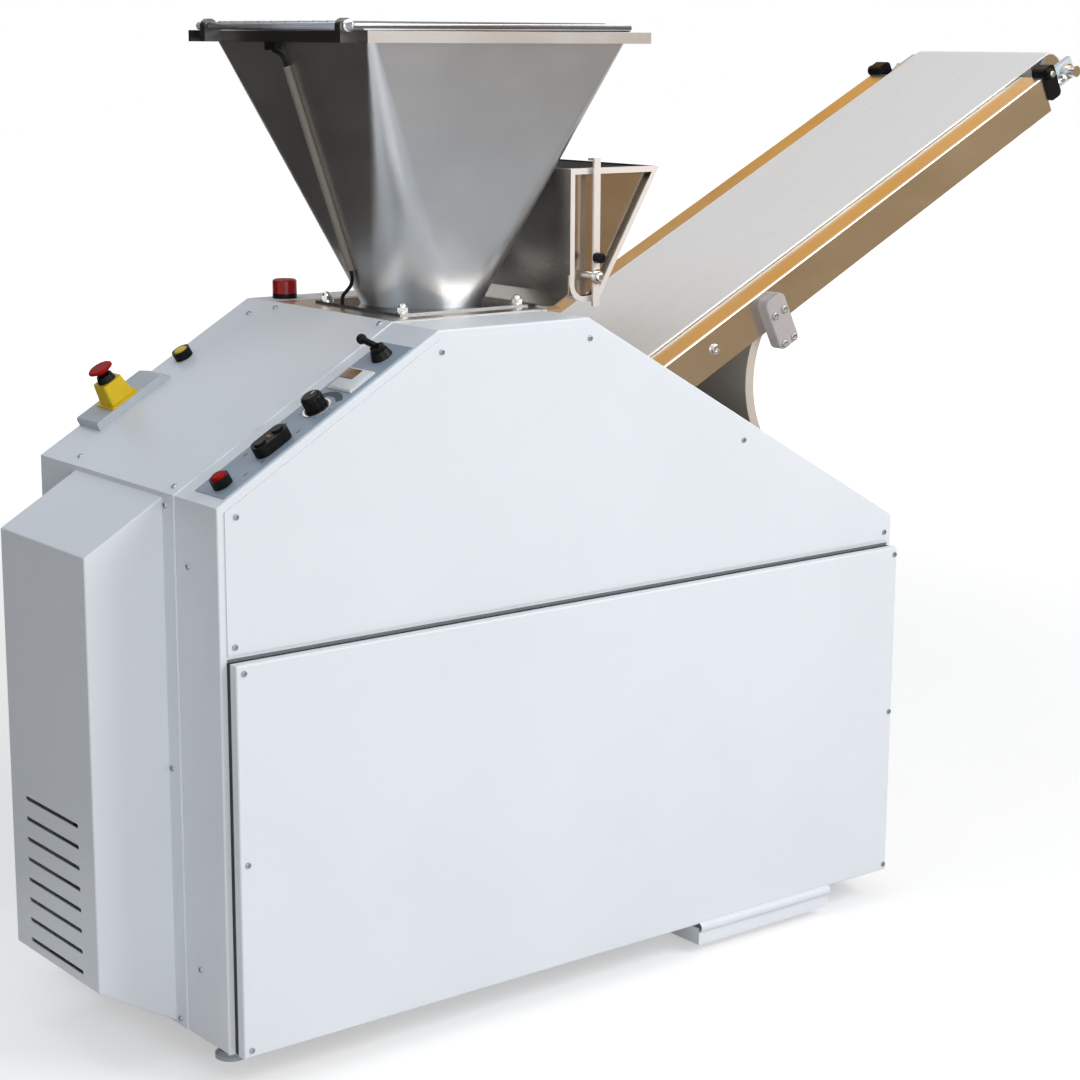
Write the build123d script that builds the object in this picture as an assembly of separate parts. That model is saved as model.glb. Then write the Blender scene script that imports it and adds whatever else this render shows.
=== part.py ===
from build123d import *
import math
import os

# Casing outline from the operator's side: lengths run from the vent end, rises from the panels' lower edge
body_length = 1347.0
body_width = 539.0
ground_clearance = 50.0
end_wall_rise = 811.0
deck_rise = 1032.0
deck_start = 379.0
deck_end = 663.0
sheet = 2.0
edge_return = 40.0
fold_radius = 3.0
bottom_return = 30.0
window_border = 45.0

# Covers that lie on the casing, measured from the near and the far side
near_cover_edge = 118.0
far_cover_edge = 89.0
cover_lap = 32.0
cover_gap = 0.6
deck_overhang = 37.0

# Side plates and lower access panels
panel_height = 589.5
panel_end_margin = 10.0
panel_depth = 16.0
panel_gap = 10.5
panel_edge_radius = 3.0
plate_inset = 12.0
plate_gap = 9.0
discharge_lip = 52.5
seal_inset = 1.0
seal_width = 10.0

# Vented belt guard on the end wall
guard_depth = 128.5
guard_width = 268.0
guard_foot = 2.0
guard_head = 806.0
guard_bevel = 75.5
slot_count = 8
slot_length = 172.0
slot_width = 7.0
slot_pitch = 32.4
slot_first = 95.0

# Process line: hopper, chamber, drum, duster and belt share one centre line, beside the casing's middle
line_shift = 7.5

# Hopper
hopper_at = 543.0
mouth_length = 490.0
mouth_width = 442.0
mouth_height = 427.5
mouth_corner = 8.0
foot_flat = 1.0
outlet_radius = 95.0
hopper_sheet = 2.0
rim_height = 17.0
rim_reach = 37.0
rim_lip = 3.0
base_length = 246.0
base_width = 238.0
base_thickness = 4.0
nut_inset = 13.0
nut_washer_radius = 11.0
nut_washer_height = 2.0
nut_radius = 9.2
nut_height = 6.5
nut_dome_radius = 6.5

# Safety grid over the hopper
grid_bar = 12.0
grid_clearance = 0.5
grid_front = 247.0
grid_half_width = 218.0
rod_diameter = 6.0
rod_count = 9
rod_pitch = 38.0
hinge_reach = 266.0
hinge_radius = 6.0
hinge_clearance = 0.05
lug_offset = 190.0
lug_width = 14.0
lug_radius = 11.0

# Grid switch and its lead on the hopper's vent side
switch_length = 30.0
switch_width = 11.0
switch_height = 12.0
switch_offset = 34.0
switch_proud = 4.0
lead_diameter = 6.0
lead_clearance = 0.3
conduit_diameter = 11.0
conduit_weld = 0.8
conduit_top_drop = 53.0
conduit_foot_height = 56.0
conduit_offset = 21.0
lead_foot_offset = 54.0
lead_foot_reach = 114.0
lead_foot_height = 12.0
lead_upper_run = 18.0
lead_lower_run = 20.0
lead_bend_share = 0.45

# Control slope
control_plate_start = 20.0
control_plate_end = 391.0
control_plate_edge = 7.0
control_plate_width = 80.0
control_plate_thickness = 1.5
collar_radius = 15.0
collar_height = 14.0
button_radius = 11.5
button_height = 7.0
button_dome = 3.5
button_travel = 4.0
button_clearance = 0.3
stop_button_at = 44.0
stop_button_shift = 3.0
stop_button_proud = 4.0
twin_at = 138.0
twin_shift = 8.0
twin_length = 62.0
twin_width = 32.0
twin_flat = 1.0
twin_height = 17.0
twin_button_radius = 9.0
twin_button_spacing = 34.0
twin_button_height = 5.0
twin_travel = 3.0
knob_at = 229.0
knob_radius = 16.5
knob_height = 21.0
knob_round = 6.0
knob_groove_count = 12
knob_groove_radius = 2.0
knob_stem_radius = 7.5
knob_ring_radius = 19.0
knob_ring_height = 3.0
counter_at = 298.0
counter_length = 50.0
counter_width = 60.0
counter_height = 3.0
counter_recess_shift = 6.0
selector_at = 360.0
selector_foot_radius = 17.0
selector_head_radius = 13.0
selector_base_height = 12.0
selector_radius = 11.0
selector_height = 6.0
selector_stem_radius = 4.5
selector_arm = 32.0
selector_climb = 9.0
selector_arm_radius = 5.0
selector_ball_radius = 8.0
cycle_button_at = 276.0
cycle_button_line = 38.0
cycle_button_proud = 1.5

# Emergency stop and signal lamp on the far strip
stop_box_start = 80.0
stop_box_length = 146.0
stop_box_width = 69.0
stop_box_height = 13.0
stop_box_bevel = 3.0
stop_box_ramp = 14.0
stop_box_edge = 2.0
stop_at = 142.0
stop_line = 42.0
pedestal_flange = 54.0
pedestal_flange_height = 3.0
pedestal_base = 44.0
pedestal_top = 36.0
pedestal_height = 36.0
pedestal_corner = 4.0
stop_neck_foot_radius = 15.0
stop_neck_radius = 12.5
stop_neck_height = 10.0
mushroom_radius = 20.0
mushroom_root_radius = 11.5
mushroom_flare = 5.0
mushroom_rim = 3.5
mushroom_round = 3.0
mushroom_stem_radius = 10.0
mushroom_gap = 5.5
mushroom_travel = 5.0
lamp_at = 430.0
lamp_inset = 35.0
lamp_radius = 20.0
lamp_base_height = 8.0
lamp_height = 23.0
lamp_round = 4.0

# Discharge conveyor, in its own inclined frame with the tail roller at zero
belt_angle = 26.91
tail_at = 580.0
tail_drop = 242.8
belt_span = 1407.0
belt_thickness = 3.0
roller_radius = 30.0
roller_gap = 0.3
roller_shaft_radius = 10.0
shaft_clearance = 0.05
rail_side_gap = 56.9
rail_flange = 52.1
rail_drop = 5.0
rail_height = 66.2
rail_sheet = 3.0
rail_lip = 20.0
rail_start = -60.0
rail_end = 1327.0
belt_side_gap = 1.0
bed_sheet = 2.0
bed_end_gap = 45.0
tie_radius = 9.0
tie_places = (160.0, 640.0, 1140.0)
takeup_length = 33.0
takeup_width = 27.0
takeup_overhang = 4.4
takeup_proud = 13.0
takeup_height = 62.0
takeup_corner = 9.0
takeup_plate_setback = 26.6
takeup_plate_thickness = 10.0
takeup_plate_height = 38.0
takeup_plate_reach = 22.0
shaft_end_reach = 26.0
shaft_nut_radius = 14.0
shaft_nut_height = 8.0
link_at = 567.0
link_width = 46.0
link_height = 92.0
link_corner = 12.0
link_round = 3.0
link_thickness = 22.0
link_drop = 61.0

# Curved guard below the conveyor
guard_sheet = 3.0
chute_setback = 7.6
chute_flange = 18.0
chute_foot_at = 1106.0
chute_foot_sink = 11.4
chute_bend_at = 1060.0
chute_bend_drop = 147.0
chute_head_at = 1088.0
chute_head_drop = 47.0
chute_gap = 0.3

# Flour duster over the belt
duster_back = 718.0
duster_front = 901.0
duster_height = 210.0
duster_floor_gap = 8.0
duster_floor_end = 776.0
duster_nose_radius = 28.0
duster_setback = 9.5
duster_fold = 10.0
duster_rim = 9.0
duster_sheet = 2.0
flour_slot_count = 6
flour_slot_length = 38.0
flour_slot_width = 14.0
flour_slot_pitch = 46.0
rotor_at = 764.0
rotor_height = 40.0
rotor_shaft_radius = 6.0
rotor_fin_radius = 22.0
rotor_fin_sheet = 2.0
rotor_end_gap = 6.0
lever_gap = 6.0
lever_thickness = 4.0
lever_width = 13.0
lever_up = 186.0
lever_down = 47.0
lever_tab = 12.0
lever_washer_radius = 12.0
lever_washer_height = 2.5
lever_nut_radius = 8.5
lever_nut_height = 9.0
lever_nut_round = 5.0
lever_knob_up = 30.0
lever_knob_radius = 8.5
lever_knob_height = 16.0
bracket_sheet = 3.0
bracket_start = 674.0
bracket_bend = 688.0
bracket_climb = 14.0
bracket_head = 44.0

# Dough chamber, ram and knife
chamber_start = 345.0
chamber_end = 630.0
chamber_half_width = 105.0
chamber_wall = 15.0
chamber_floor = 24.0
roof_start = 390.0
inlet_start = 500.0
inlet_end = 612.0
inlet_half_width = 90.0
slide_clearance = 0.5
ram_axis_drop = 87.0
ram_height = 100.0
ram_start = 370.0
ram_length = 130.0
ram_stroke = 130.0
ram_pin_setback = 30.0
ram_pin_radius = 10.0
ram_lug_width = 22.0
knife_thickness = 8.0

# Ram lever and its crank drive
lever_pivot_rise = 545.0
ram_lever_offset = 80.0
ram_lever_thickness = 14.0
ram_lever_width = 40.0
ram_lever_tip = 36.0
ram_lever_shaft_radius = 15.0
ram_lever_boss_radius = 30.0
fork_clearance = 0.5
drive_pin_height = 150.0
drive_pin_radius = 10.0
conrod_thickness = 12.0
conrod_width = 26.0
conrod_eye_radius = 22.0
conrod_gap = 0.6
crank_at = 130.0
crank_rise = 680.0
crank_disc_radius = 58.0
crank_disc_thickness = 14.0
crank_shaft_radius = 20.0

# Measuring drum
drum_at = 695.0
drum_drop = 15.0
drum_radius = 62.0
drum_end_gap = 0.5
drum_shaft_radius = 20.0
pocket_radius = 38.0
pocket_depth = 68.0
pocket_spacing = 100.0
piston_length = 26.0
piston_clearance = 0.05
piston_setback = 36.0

# Inner side plates that carry the chamber, the drum and the lever
plate_thickness = 18.0
plate_start = 355.0
plate_foot_rise = 500.0
plate_foot_end = 545.0
plate_throat_drop = 130.0
plate_nose_reach = 70.0
plate_nose_low = 18.0
plate_nose_high = 10.0
plate_shoulder_reach = 35.0
plate_shoulder_high = 55.0
plate_top_drop = 29.0

# Gearbox, motor, pulleys and belts
gearbox_start = 36.0
gearbox_length = 194.0
gearbox_width = 130.0
gearbox_foot_rise = 470.0
gearbox_head_rise = 766.0
gearbox_round = 26.0
gearbox_flange = 20.0
input_rise = 600.0
input_shaft_radius = 14.0
motor_start = 16.0
motor_length = 250.0
motor_radius = 88.0
motor_rise = 200.0
motor_fin_count = 16
motor_fin_height = 6.0
motor_fin_sheet = 4.0
motor_fin_start = 31.0
motor_fin_length = 150.0
motor_bell_length = 50.0
motor_foot_length = 125.0
motor_foot_width = 160.0
motor_shaft_radius = 12.0
driven_radius = 118.0
motor_pulley_radius = 46.0
pulley_width = 44.0
pulley_gap = 26.0
belt_groove_width = 13.0
belt_groove_depth = 10.0
belt_groove_pitch = 19.0
vbelt_width = 12.4
vbelt_height = 9.0
vbelt_gap = 0.3
shaft_insert = 40.0

# Welded base frame and feet
tube_width = 40.0
tube_height = 50.0
frame_rise = 20.0
frame_end_gap = 12.0
cross_places = (60.0, 280.0)
post_size = 40.0
post_places = (385.0, 520.0)
shelf_sheet = 15.0
shelf_start = 30.0
shelf_half_width = 145.0
motor_plate_sheet = 8.0
motor_plate_end = 300.0
conveyor_post_size = 30.0
conveyor_post_at = 560.0
conveyor_post_drop = 27.2
foot_inset_y = 96.0
foot_pad_radius = 25.0
foot_pad_height = 12.0
foot_stem_radius = 8.0

# Scrap tray below the panels
tray_end_margin = 157.0
tray_length = 300.0
tray_reach = 2.0
tray_depth = 380.0
tray_low_rise = -36.0
tray_height = 29.0
tray_sheet = 1.5
tray_side_lip = 10.0
tray_lip_radius = 9.0
tray_lip_rise = -5.0
tray_gap = 0.5
runner_sheet = 3.0
runner_foot = 14.0
runner_side_gap = 1.0
runner_cross_offset = 26.0

# Electrical box and cable gland
cabinet_start = 620.0
cabinet_length = 220.0
cabinet_width = 190.0
cabinet_height = 290.0
cabinet_wall_gap = 8.0
gland_inset = 110.0
gland_rise = 62.0
gland_radius = 15.0
gland_nut_height = 12.0
gland_dome_radius = 12.0
gland_dome_height = 14.0
gland_dome_round = 3.75
gland_bore_radius = 6.5

# Reference planes of the whole machine: origin on the floor under the middle of the casing
end_x = -body_length / 2
discharge_x = body_length / 2
near_y = -body_width / 2
far_y = body_width / 2
line_y = line_shift
cover_near_y = near_y + near_cover_edge
cover_far_y = far_y - far_cover_edge
cover_mid_y = (cover_near_y + cover_far_y) / 2
deck_top_rise = deck_rise + sheet
base_top_rise = deck_top_rise + base_thickness
mouth_rise = deck_rise + mouth_height
conduit_top_rise = mouth_rise - conduit_top_drop
conduit_foot_rise = base_top_rise + conduit_foot_height
tail_rise = deck_rise - tail_drop
rail_half_width = body_width / 2 - rail_side_gap
belt_half_width = rail_half_width - rail_flange - belt_side_gap
takeup_outer = rail_half_width + takeup_overhang
takeup_plate_inner = rail_half_width - takeup_plate_setback
chute_half_width = rail_half_width - chute_setback
discharge_rise = panel_height + discharge_lip
discharge_fall = (deck_rise - discharge_rise) / (body_length - deck_end)
chute_foot_rise = deck_rise - (chute_foot_at - deck_end) * discharge_fall - chute_foot_sink
duster_half_width = belt_half_width - duster_setback
duster_floor_rise = deck_rise + duster_floor_gap
duster_top_rise = duster_floor_rise + duster_height
rotor_rise = duster_floor_rise + rotor_height
ram_axis_rise = deck_rise - ram_axis_drop
lever_arm = ram_axis_rise - lever_pivot_rise
drum_rise = ram_axis_rise - drum_drop
tray_start = body_length - tray_end_margin - tray_length
runner_places = (tray_start - runner_cross_offset, tray_start + tray_length + runner_cross_offset)


def along(distance):
    """Place along the machine, measured from the vent end."""
    return end_x + distance


def rise(height):
    """Height above the floor of a rise above the panels' lower edge."""
    return ground_clearance + height


def block(x0, x1, y0, y1, z0, z1):
    """Box between two corners."""
    box = Box(abs(x1 - x0), abs(y1 - y0), abs(z1 - z0))
    return Pos((x0 + x1) / 2, (y0 + y1) / 2, (z0 + z1) / 2) * box


def rod_x(y, z, radius, x0, x1):
    """Round bar along the machine."""
    return Pos((x0 + x1) / 2, y, z) * Rot(0, 90, 0) * Cylinder(radius, abs(x1 - x0))


def rod_y(x, z, radius, y0, y1):
    """Round bar across the machine."""
    return Pos(x, (y0 + y1) / 2, z) * Rot(90, 0, 0) * Cylinder(radius, abs(y1 - y0))


def rod_z(x, y, radius, z0, z1):
    """Upright round bar."""
    return Pos(x, y, (z0 + z1) / 2) * Cylinder(radius, abs(z1 - z0))


def outline(points):
    """Closed flat figure from corner points."""
    return make_face(Polyline(*points, close=True))


def window(x0, x1, z0, z1):
    """Rectangle in the side view."""
    return outline([(x0, z0), (x1, z0), (x1, z1), (x0, z1)])


def prism(figure, y0, y1):
    """Figure of the side view carried across the machine from y0 to y1."""
    low = min(y0, y1)
    return extrude(Plane.XZ.offset(-low) * figure, amount=-abs(y1 - y0))


body_figure = outline(
    [
        (end_x, rise(0)),
        (end_x, rise(end_wall_rise)),
        (along(deck_start), rise(deck_rise)),
        (along(deck_end), rise(deck_rise)),
        (discharge_x, rise(discharge_rise)),
        (discharge_x, rise(0)),
    ]
)
open_zone = window(end_x, discharge_x, rise(sheet), rise(deck_rise))
shell_ring = (body_figure - offset(body_figure, -sheet, kind=Kind.INTERSECTION)) & open_zone
cover_ring = offset(body_figure, sheet, kind=Kind.INTERSECTION) - body_figure
far_reach = body_length + guard_depth


def rounded_body(side):
    """Half of the casing's whole form, with the fold's radius round its side face."""
    half = prism(body_figure, side * body_width / 2, 0)
    face = half.faces().sort_by(Axis.Y)[0 if side < 0 else -1]
    return fillet(face.edges().sort_by(Axis.Z)[1:], fold_radius)


def casing(side, cover_edge):
    """Folded side casing: framed wall, narrow returns and wide returns under the covers."""
    face = side * body_width / 2
    wide_return = cover_edge + cover_lap
    upper = window(-far_reach, far_reach, rise(panel_height + window_border), rise(deck_rise))
    lower = window(
        end_x + window_border,
        discharge_x - window_border,
        rise(window_border),
        rise(panel_height - window_border),
    )
    wall_figure = body_figure - lower - (offset(body_figure, -window_border, kind=Kind.INTERSECTION) & upper)
    wall = prism(wall_figure, face, face - side * sheet)
    returns = prism(shell_ring, face, face - side * edge_return)
    wide_zone = window(end_x - sheet, along(deck_end), rise(bottom_return), rise(deck_rise) + sheet)
    wide = prism(shell_ring & wide_zone, face, face - side * wide_return)
    return (wall + returns + wide) & rounded_body(side)


def side_plate(side):
    """Flat upper plate screwed on the casing."""
    face = side * body_width / 2
    zone = window(-far_reach, far_reach, rise(panel_height + plate_gap), rise(deck_rise))
    figure = offset(body_figure, -plate_inset, kind=Kind.INTERSECTION) & zone
    return prism(figure, face, face + side * sheet)


def lower_panel(side):
    """Access panel folded as a shallow pan that stands off the casing."""
    face = side * body_width / 2
    back = face + side * panel_gap
    front = back + side * panel_depth
    left = end_x + panel_end_margin
    right = discharge_x - panel_end_margin
    pan = block(left, right, back, front, rise(0), rise(panel_height))
    front_face = pan.faces().sort_by(Axis.Y)[0 if side < 0 else -1]
    pan = fillet(front_face.edges(), panel_edge_radius)
    hollow = block(
        left + sheet,
        right - sheet,
        back,
        front - side * sheet,
        rise(sheet),
        rise(panel_height - sheet),
    )
    return pan - hollow


def panel_seal(side):
    """Foam frame between the casing and the lower panel."""
    face = side * body_width / 2
    left = end_x + panel_end_margin + seal_inset
    right = discharge_x - panel_end_margin - seal_inset
    outer = window(left, right, rise(seal_inset), rise(panel_height - seal_inset))
    inner = offset(outer, -seal_width, kind=Kind.INTERSECTION)
    return prism(outer - inner, face, face + side * panel_gap)


def slope_cover():
    """Middle cover of the control slope, lying on both casings."""
    zone = window(end_x - sheet, along(deck_start) - cover_gap, rise(end_wall_rise), rise(deck_top_rise))
    return prism(cover_ring & zone, cover_near_y, cover_far_y)


def guard_figure(wall):
    """Side view of the belt guard's hood, inset by a wall thickness."""
    tilt = math.atan2(guard_bevel, guard_depth)
    shift = wall / math.cos(tilt)
    depth = guard_depth - wall
    foot = rise(guard_foot) + shift
    head = rise(guard_head) - shift
    climb = depth * math.tan(tilt)
    return outline(
        [(end_x, foot), (end_x - depth, foot + climb), (end_x - depth, head - climb), (end_x, head)]
    )


def belt_guard():
    """Vented hood over the belt drive, with a flange all round that lies on the casings."""
    half = guard_width / 2
    flange = block(end_x - sheet, end_x, cover_near_y, cover_far_y, rise(0), rise(end_wall_rise))
    hood = prism(guard_figure(0), cover_mid_y - half, cover_mid_y + half)
    hood = fillet(hood.edges().filter_by(lambda edge: edge.center().X < end_x - fold_radius), fold_radius)
    hollow = prism(guard_figure(sheet), cover_mid_y - half + sheet, cover_mid_y + half - sheet)
    front = Plane(
        origin=(end_x - guard_depth, cover_mid_y, rise(slot_first)), x_dir=(0, 1, 0), z_dir=(-1, 0, 0)
    )
    slots = [
        extrude(front * Pos(0, -slot_pitch * row) * SlotOverall(slot_length, slot_width), amount=-2 * sheet)
        for row in range(slot_count)
    ]
    return flange + hood - hollow - slots


def top_deck():
    """Stainless deck under the hopper, overhanging towards the duster."""
    plate = block(
        along(deck_start),
        along(deck_end + deck_overhang),
        cover_near_y,
        cover_far_y,
        rise(deck_rise),
        rise(deck_top_rise),
    )
    low = rise(deck_rise) - sheet
    return plate - rod_z(along(hopper_at), line_y, outlet_radius, low, rise(deck_top_rise) + sheet)


def discharge_cover():
    """Cover of the discharge end, from the chute down to the panels' lower edge."""
    start = along(chute_foot_at) + guard_sheet + chute_gap
    zone = window(start, far_reach, rise(0), rise(deck_rise))
    cover = prism(cover_ring & zone, near_y + plate_inset, far_y - plate_inset)
    gland_y = far_y - gland_inset
    return cover - rod_x(gland_y, rise(gland_rise), gland_bore_radius, discharge_x - sheet, far_reach)


def chute_figure(width):
    """Side view of the curved guard: two like arcs, one width apart."""
    points = [
        (along(chute_foot_at), rise(chute_foot_rise)),
        (along(chute_bend_at), rise(deck_rise - chute_bend_drop)),
        (along(chute_head_at), rise(deck_rise - chute_head_drop)),
    ]
    far_points = [(x + width, z) for x, z in points]
    return make_face(
        [
            ThreePointArc(*points),
            Line(points[2], far_points[2]),
            ThreePointArc(*far_points),
            Line(far_points[0], points[0]),
        ]
    )


def discharge_guard():
    """Curved stainless guard from the slope up to the conveyor rails, with folded side edges."""
    web = prism(chute_figure(guard_sheet), line_y - chute_half_width, line_y + chute_half_width)
    inner = chute_half_width - guard_sheet
    edges = [
        prism(chute_figure(chute_flange), line_y + side * inner, line_y + side * chute_half_width)
        for side in (-1, 1)
    ]
    above = on_belt(
        block(0, belt_span, -body_width, body_width, -rail_drop - rail_height - chute_gap, body_width)
    )
    under_cover = prism(
        offset(body_figure, sheet + chute_gap, kind=Kind.INTERSECTION)
        & window(along(chute_foot_at) + guard_sheet, far_reach, rise(0), rise(deck_rise)),
        near_y,
        far_y,
    )
    return web + (edges[0] + edges[1] - under_cover) - above


def on_belt(shape):
    """Place a shape of the conveyor's own frame in the machine."""
    return Location((along(tail_at), line_y, rise(tail_rise)), (0, -belt_angle, 0)) * shape


def on_slope(distance, depth, shape):
    """Place a shape on the control slope: distance up the slope, depth from the near side."""
    tilt = math.degrees(math.atan2(deck_rise - end_wall_rise, deck_start))
    x = end_x + distance * math.cos(math.radians(tilt))
    z = rise(end_wall_rise) + distance * math.sin(math.radians(tilt))
    return Location((x, near_y + depth, z), (0, -tilt, 0)) * shape


def hopper_skin(wall):
    """Square-to-round funnel body, inset by a wall thickness."""
    side = 2 * (outlet_radius - wall)
    foot = RectangleRounded(side, side, side / 2 - foot_flat)
    mouth = RectangleRounded(mouth_length - 2 * wall, mouth_width - 2 * wall, mouth_corner - wall)
    low = Pos(along(hopper_at), line_y, rise(base_top_rise))
    high = Pos(along(hopper_at), line_y, rise(mouth_rise))
    return loft([low * foot, high * mouth])


def hopper_slope_x(height):
    """Place along the machine of the hopper's vent-side face at a rise."""
    share = (height - base_top_rise) / (mouth_rise - base_top_rise)
    return along(hopper_at) - outlet_radius - share * (mouth_length / 2 - outlet_radius)


def rim_bar(side):
    """Rim bar along one side of the mouth: the near one runs on past the front, the far one past the back."""
    centre = along(hopper_at)
    half_x = mouth_length / 2 + rim_lip
    outer = line_y + side * (mouth_width / 2 + rim_lip)
    runout = rim_reach - rim_lip
    start = centre - half_x - (runout if side > 0 else 0)
    end = centre + half_x + (runout if side < 0 else 0)
    inner = outer - side * (rim_lip + hopper_sheet)
    return block(start, end, inner, outer, rise(mouth_rise) - rim_height, rise(mouth_rise))


def hinge_lug(side):
    """Lug on the vent side of the rim, bored for the grid's hinge bar."""
    edge = along(hopper_at) - mouth_length / 2 - rim_lip
    hinge_x = along(hopper_at) - hinge_reach
    top = rise(mouth_rise)
    axis_z = top + grid_clearance + grid_bar / 2
    near = line_y + side * lug_offset - lug_width / 2
    far = near + lug_width
    lug = block(hinge_x - lug_radius, edge, near, far, top - rim_height, axis_z)
    lug += rod_y(hinge_x, axis_z, lug_radius, near, far)
    lug -= rod_y(hinge_x, axis_z, hinge_radius + hinge_clearance, near, far)
    return lug - block(edge, along(hopper_at), near, far, top, axis_z + lug_radius)


def hopper_shell():
    """Funnel with a rim of bars, two hinge lugs and the conduit welded on its vent side."""
    centre = along(hopper_at)
    top = rise(mouth_rise)
    half_x = mouth_length / 2
    half_y = mouth_width / 2 + rim_lip
    shell = hopper_skin(0) - hopper_skin(hopper_sheet)
    for side in (-1, 1):
        inner = centre + side * (half_x - hopper_sheet)
        outer = centre + side * (half_x + rim_lip)
        shell += block(inner, outer, line_y - half_y, line_y + half_y, top - rim_height, top)
        shell += rim_bar(side)
    for side in (-1, 1):
        shell += hinge_lug(side)
    return shell + conduit_tube(conduit_diameter) - conduit_tube(lead_diameter + 2 * lead_clearance)


def hopper_base():
    """Base plate that clamps the hopper on the deck."""
    half_x = base_length / 2
    half_y = base_width / 2
    centre = along(hopper_at)
    plate = block(
        centre - half_x,
        centre + half_x,
        line_y - half_y,
        line_y + half_y,
        rise(deck_top_rise),
        rise(base_top_rise),
    )
    low = rise(deck_top_rise)
    return plate - rod_z(centre, line_y, outlet_radius - hopper_sheet, low, low + base_thickness)


def hold_down_nuts():
    """Cap nuts on washers at the corners of the base plate."""
    foot = rise(base_top_rise)
    nuts = []
    for side_x in (-1, 1):
        for side_y in (-1, 1):
            x = along(hopper_at) + side_x * (base_length / 2 - nut_inset)
            y = line_y + side_y * (base_width / 2 - nut_inset)
            nut_foot = foot + nut_washer_height
            washer = rod_z(x, y, nut_washer_radius, foot, nut_foot)
            hexagon = Pos(x, y, nut_foot) * extrude(RegularPolygon(nut_radius, 6), amount=nut_height)
            dome = rod_z(x, y, nut_dome_radius, nut_foot, nut_foot + nut_height + nut_dome_radius)
            dome = fillet(dome.edges().sort_by(Axis.Z)[-1], nut_dome_radius - foot_flat)
            nuts.append(washer + hexagon + dome)
    return nuts


def safety_grid():
    """Hinged rod grid over the hopper mouth."""
    centre = along(hopper_at)
    low = rise(mouth_rise) + grid_clearance
    top = low + grid_bar
    hinge_x = centre - hinge_reach
    front_x = centre + grid_front
    near = line_y - grid_half_width
    far = line_y + grid_half_width
    grid = rod_y(hinge_x, low + grid_bar / 2, hinge_radius, near, far)
    grid += block(front_x - grid_bar, front_x, near, far, low, top)
    for side in (-1, 1):
        edge = line_y + side * grid_half_width
        grid += block(hinge_x, front_x, edge - side * grid_bar, edge, low, top)
    rod_z_level = top - rod_diameter / 4
    for row in range(rod_count):
        y = line_y + (row - (rod_count - 1) / 2) * rod_pitch
        grid += rod_x(y, rod_z_level, rod_diameter / 2, hinge_x - hinge_radius / 2, front_x)
    return grid


def conduit_line():
    """Upper and lower end of the conduit's axis on the hopper's vent-side face."""
    stand_off = conduit_diameter / 2 - conduit_weld
    y = line_y + conduit_offset
    top_x = hopper_slope_x(conduit_top_rise) - stand_off
    foot_x = hopper_slope_x(conduit_foot_rise) - stand_off
    return Vector(top_x, y, rise(conduit_top_rise)), Vector(foot_x, y, rise(conduit_foot_rise))


def conduit_tube(diameter):
    """Round bar along the conduit's axis."""
    top, foot = conduit_line()
    axis = top - foot
    return Plane(origin=(top + foot) * 0.5, z_dir=axis).location * Cylinder(diameter / 2, axis.length)


def grid_switch():
    """Position switch under the rim, with its lead through the conduit down to the base plate."""
    y = line_y + switch_offset
    under = rise(mouth_rise) - rim_height
    start = along(hopper_at) - mouth_length / 2 - rim_lip - switch_proud
    half = switch_length / 2
    body = block(start, start + switch_width, y - half, y + half, under - switch_height, under)
    x = start + switch_width / 2
    top, foot = conduit_line()
    axis = (top - foot).normalized()
    deck = rise(base_top_rise)
    lead_end = Vector(along(hopper_at) - lead_foot_reach, line_y + lead_foot_offset, deck)
    route = [
        Vector(x, y, under - switch_height),
        top + axis * lead_upper_run,
        foot - axis * lead_lower_run,
        lead_end + Vector(0, 0, lead_foot_height),
        lead_end,
    ]
    return [body, lead_tube(route)]


def lead_tube(route):
    """Round lead along straight runs joined by arcs as large as the runs allow."""
    runs = [after - before for before, after in zip(route, route[1:])]
    radii = []
    for first, second in zip(runs, runs[1:]):
        turn = math.radians(first.get_angle(second))
        radii.append(lead_bend_share * min(first.length, second.length) / math.tan(turn / 2))
    path = FilletPolyline(*route, radius=radii)
    start = Plane(origin=path @ 0, z_dir=path % 0)
    return sweep(start * Circle(lead_diameter / 2), path=path)


def control_depth():
    """Depth of the control row from the near side."""
    return control_plate_edge + control_plate_width / 2


def control_plate():
    """Grey plate under the row of controls."""
    length = control_plate_end - control_plate_start
    plate = Pos(0, 0, control_plate_thickness / 2) * Box(length, control_plate_width, control_plate_thickness)
    return on_slope((control_plate_start + control_plate_end) / 2, control_depth(), plate)


def standing(radius, low, height):
    """Upright round boss in a control's own frame."""
    return Pos(0, 0, low + height / 2) * Cylinder(radius, height)


def button_foot(low, proud):
    """Level of a button's underside when it is out."""
    return low + collar_height + proud - button_height


def button_collar(low, proud):
    """Black collar with a well as deep as its button's travel asks for."""
    collar = standing(collar_radius, low, collar_height)
    floor = button_foot(low, proud) - button_travel - button_clearance
    return collar - standing(button_radius + button_clearance, floor, low + collar_height - floor)


def push_button(low, proud):
    """Button cap with a rounded top."""
    cap = standing(button_radius, button_foot(low, proud), button_height)
    return fillet(cap.edges().sort_by(Axis.Z)[-1], button_dome)


def twin_wells():
    """Places of the two buttons along the twin bezel."""
    return [side * twin_button_spacing / 2 for side in (-1, 1)]


def twin_bezel():
    """Black bezel with two wells for its buttons."""
    bezel = extrude(RectangleRounded(twin_length, twin_width, twin_width / 2 - twin_flat), amount=twin_height)
    bezel = Pos(0, 0, control_plate_thickness) * bezel
    floor = control_plate_thickness + twin_height - twin_button_height
    for place in twin_wells():
        bezel -= Pos(place, 0, 0) * standing(twin_button_radius + button_clearance, floor, twin_button_height)
    return bezel


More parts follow.
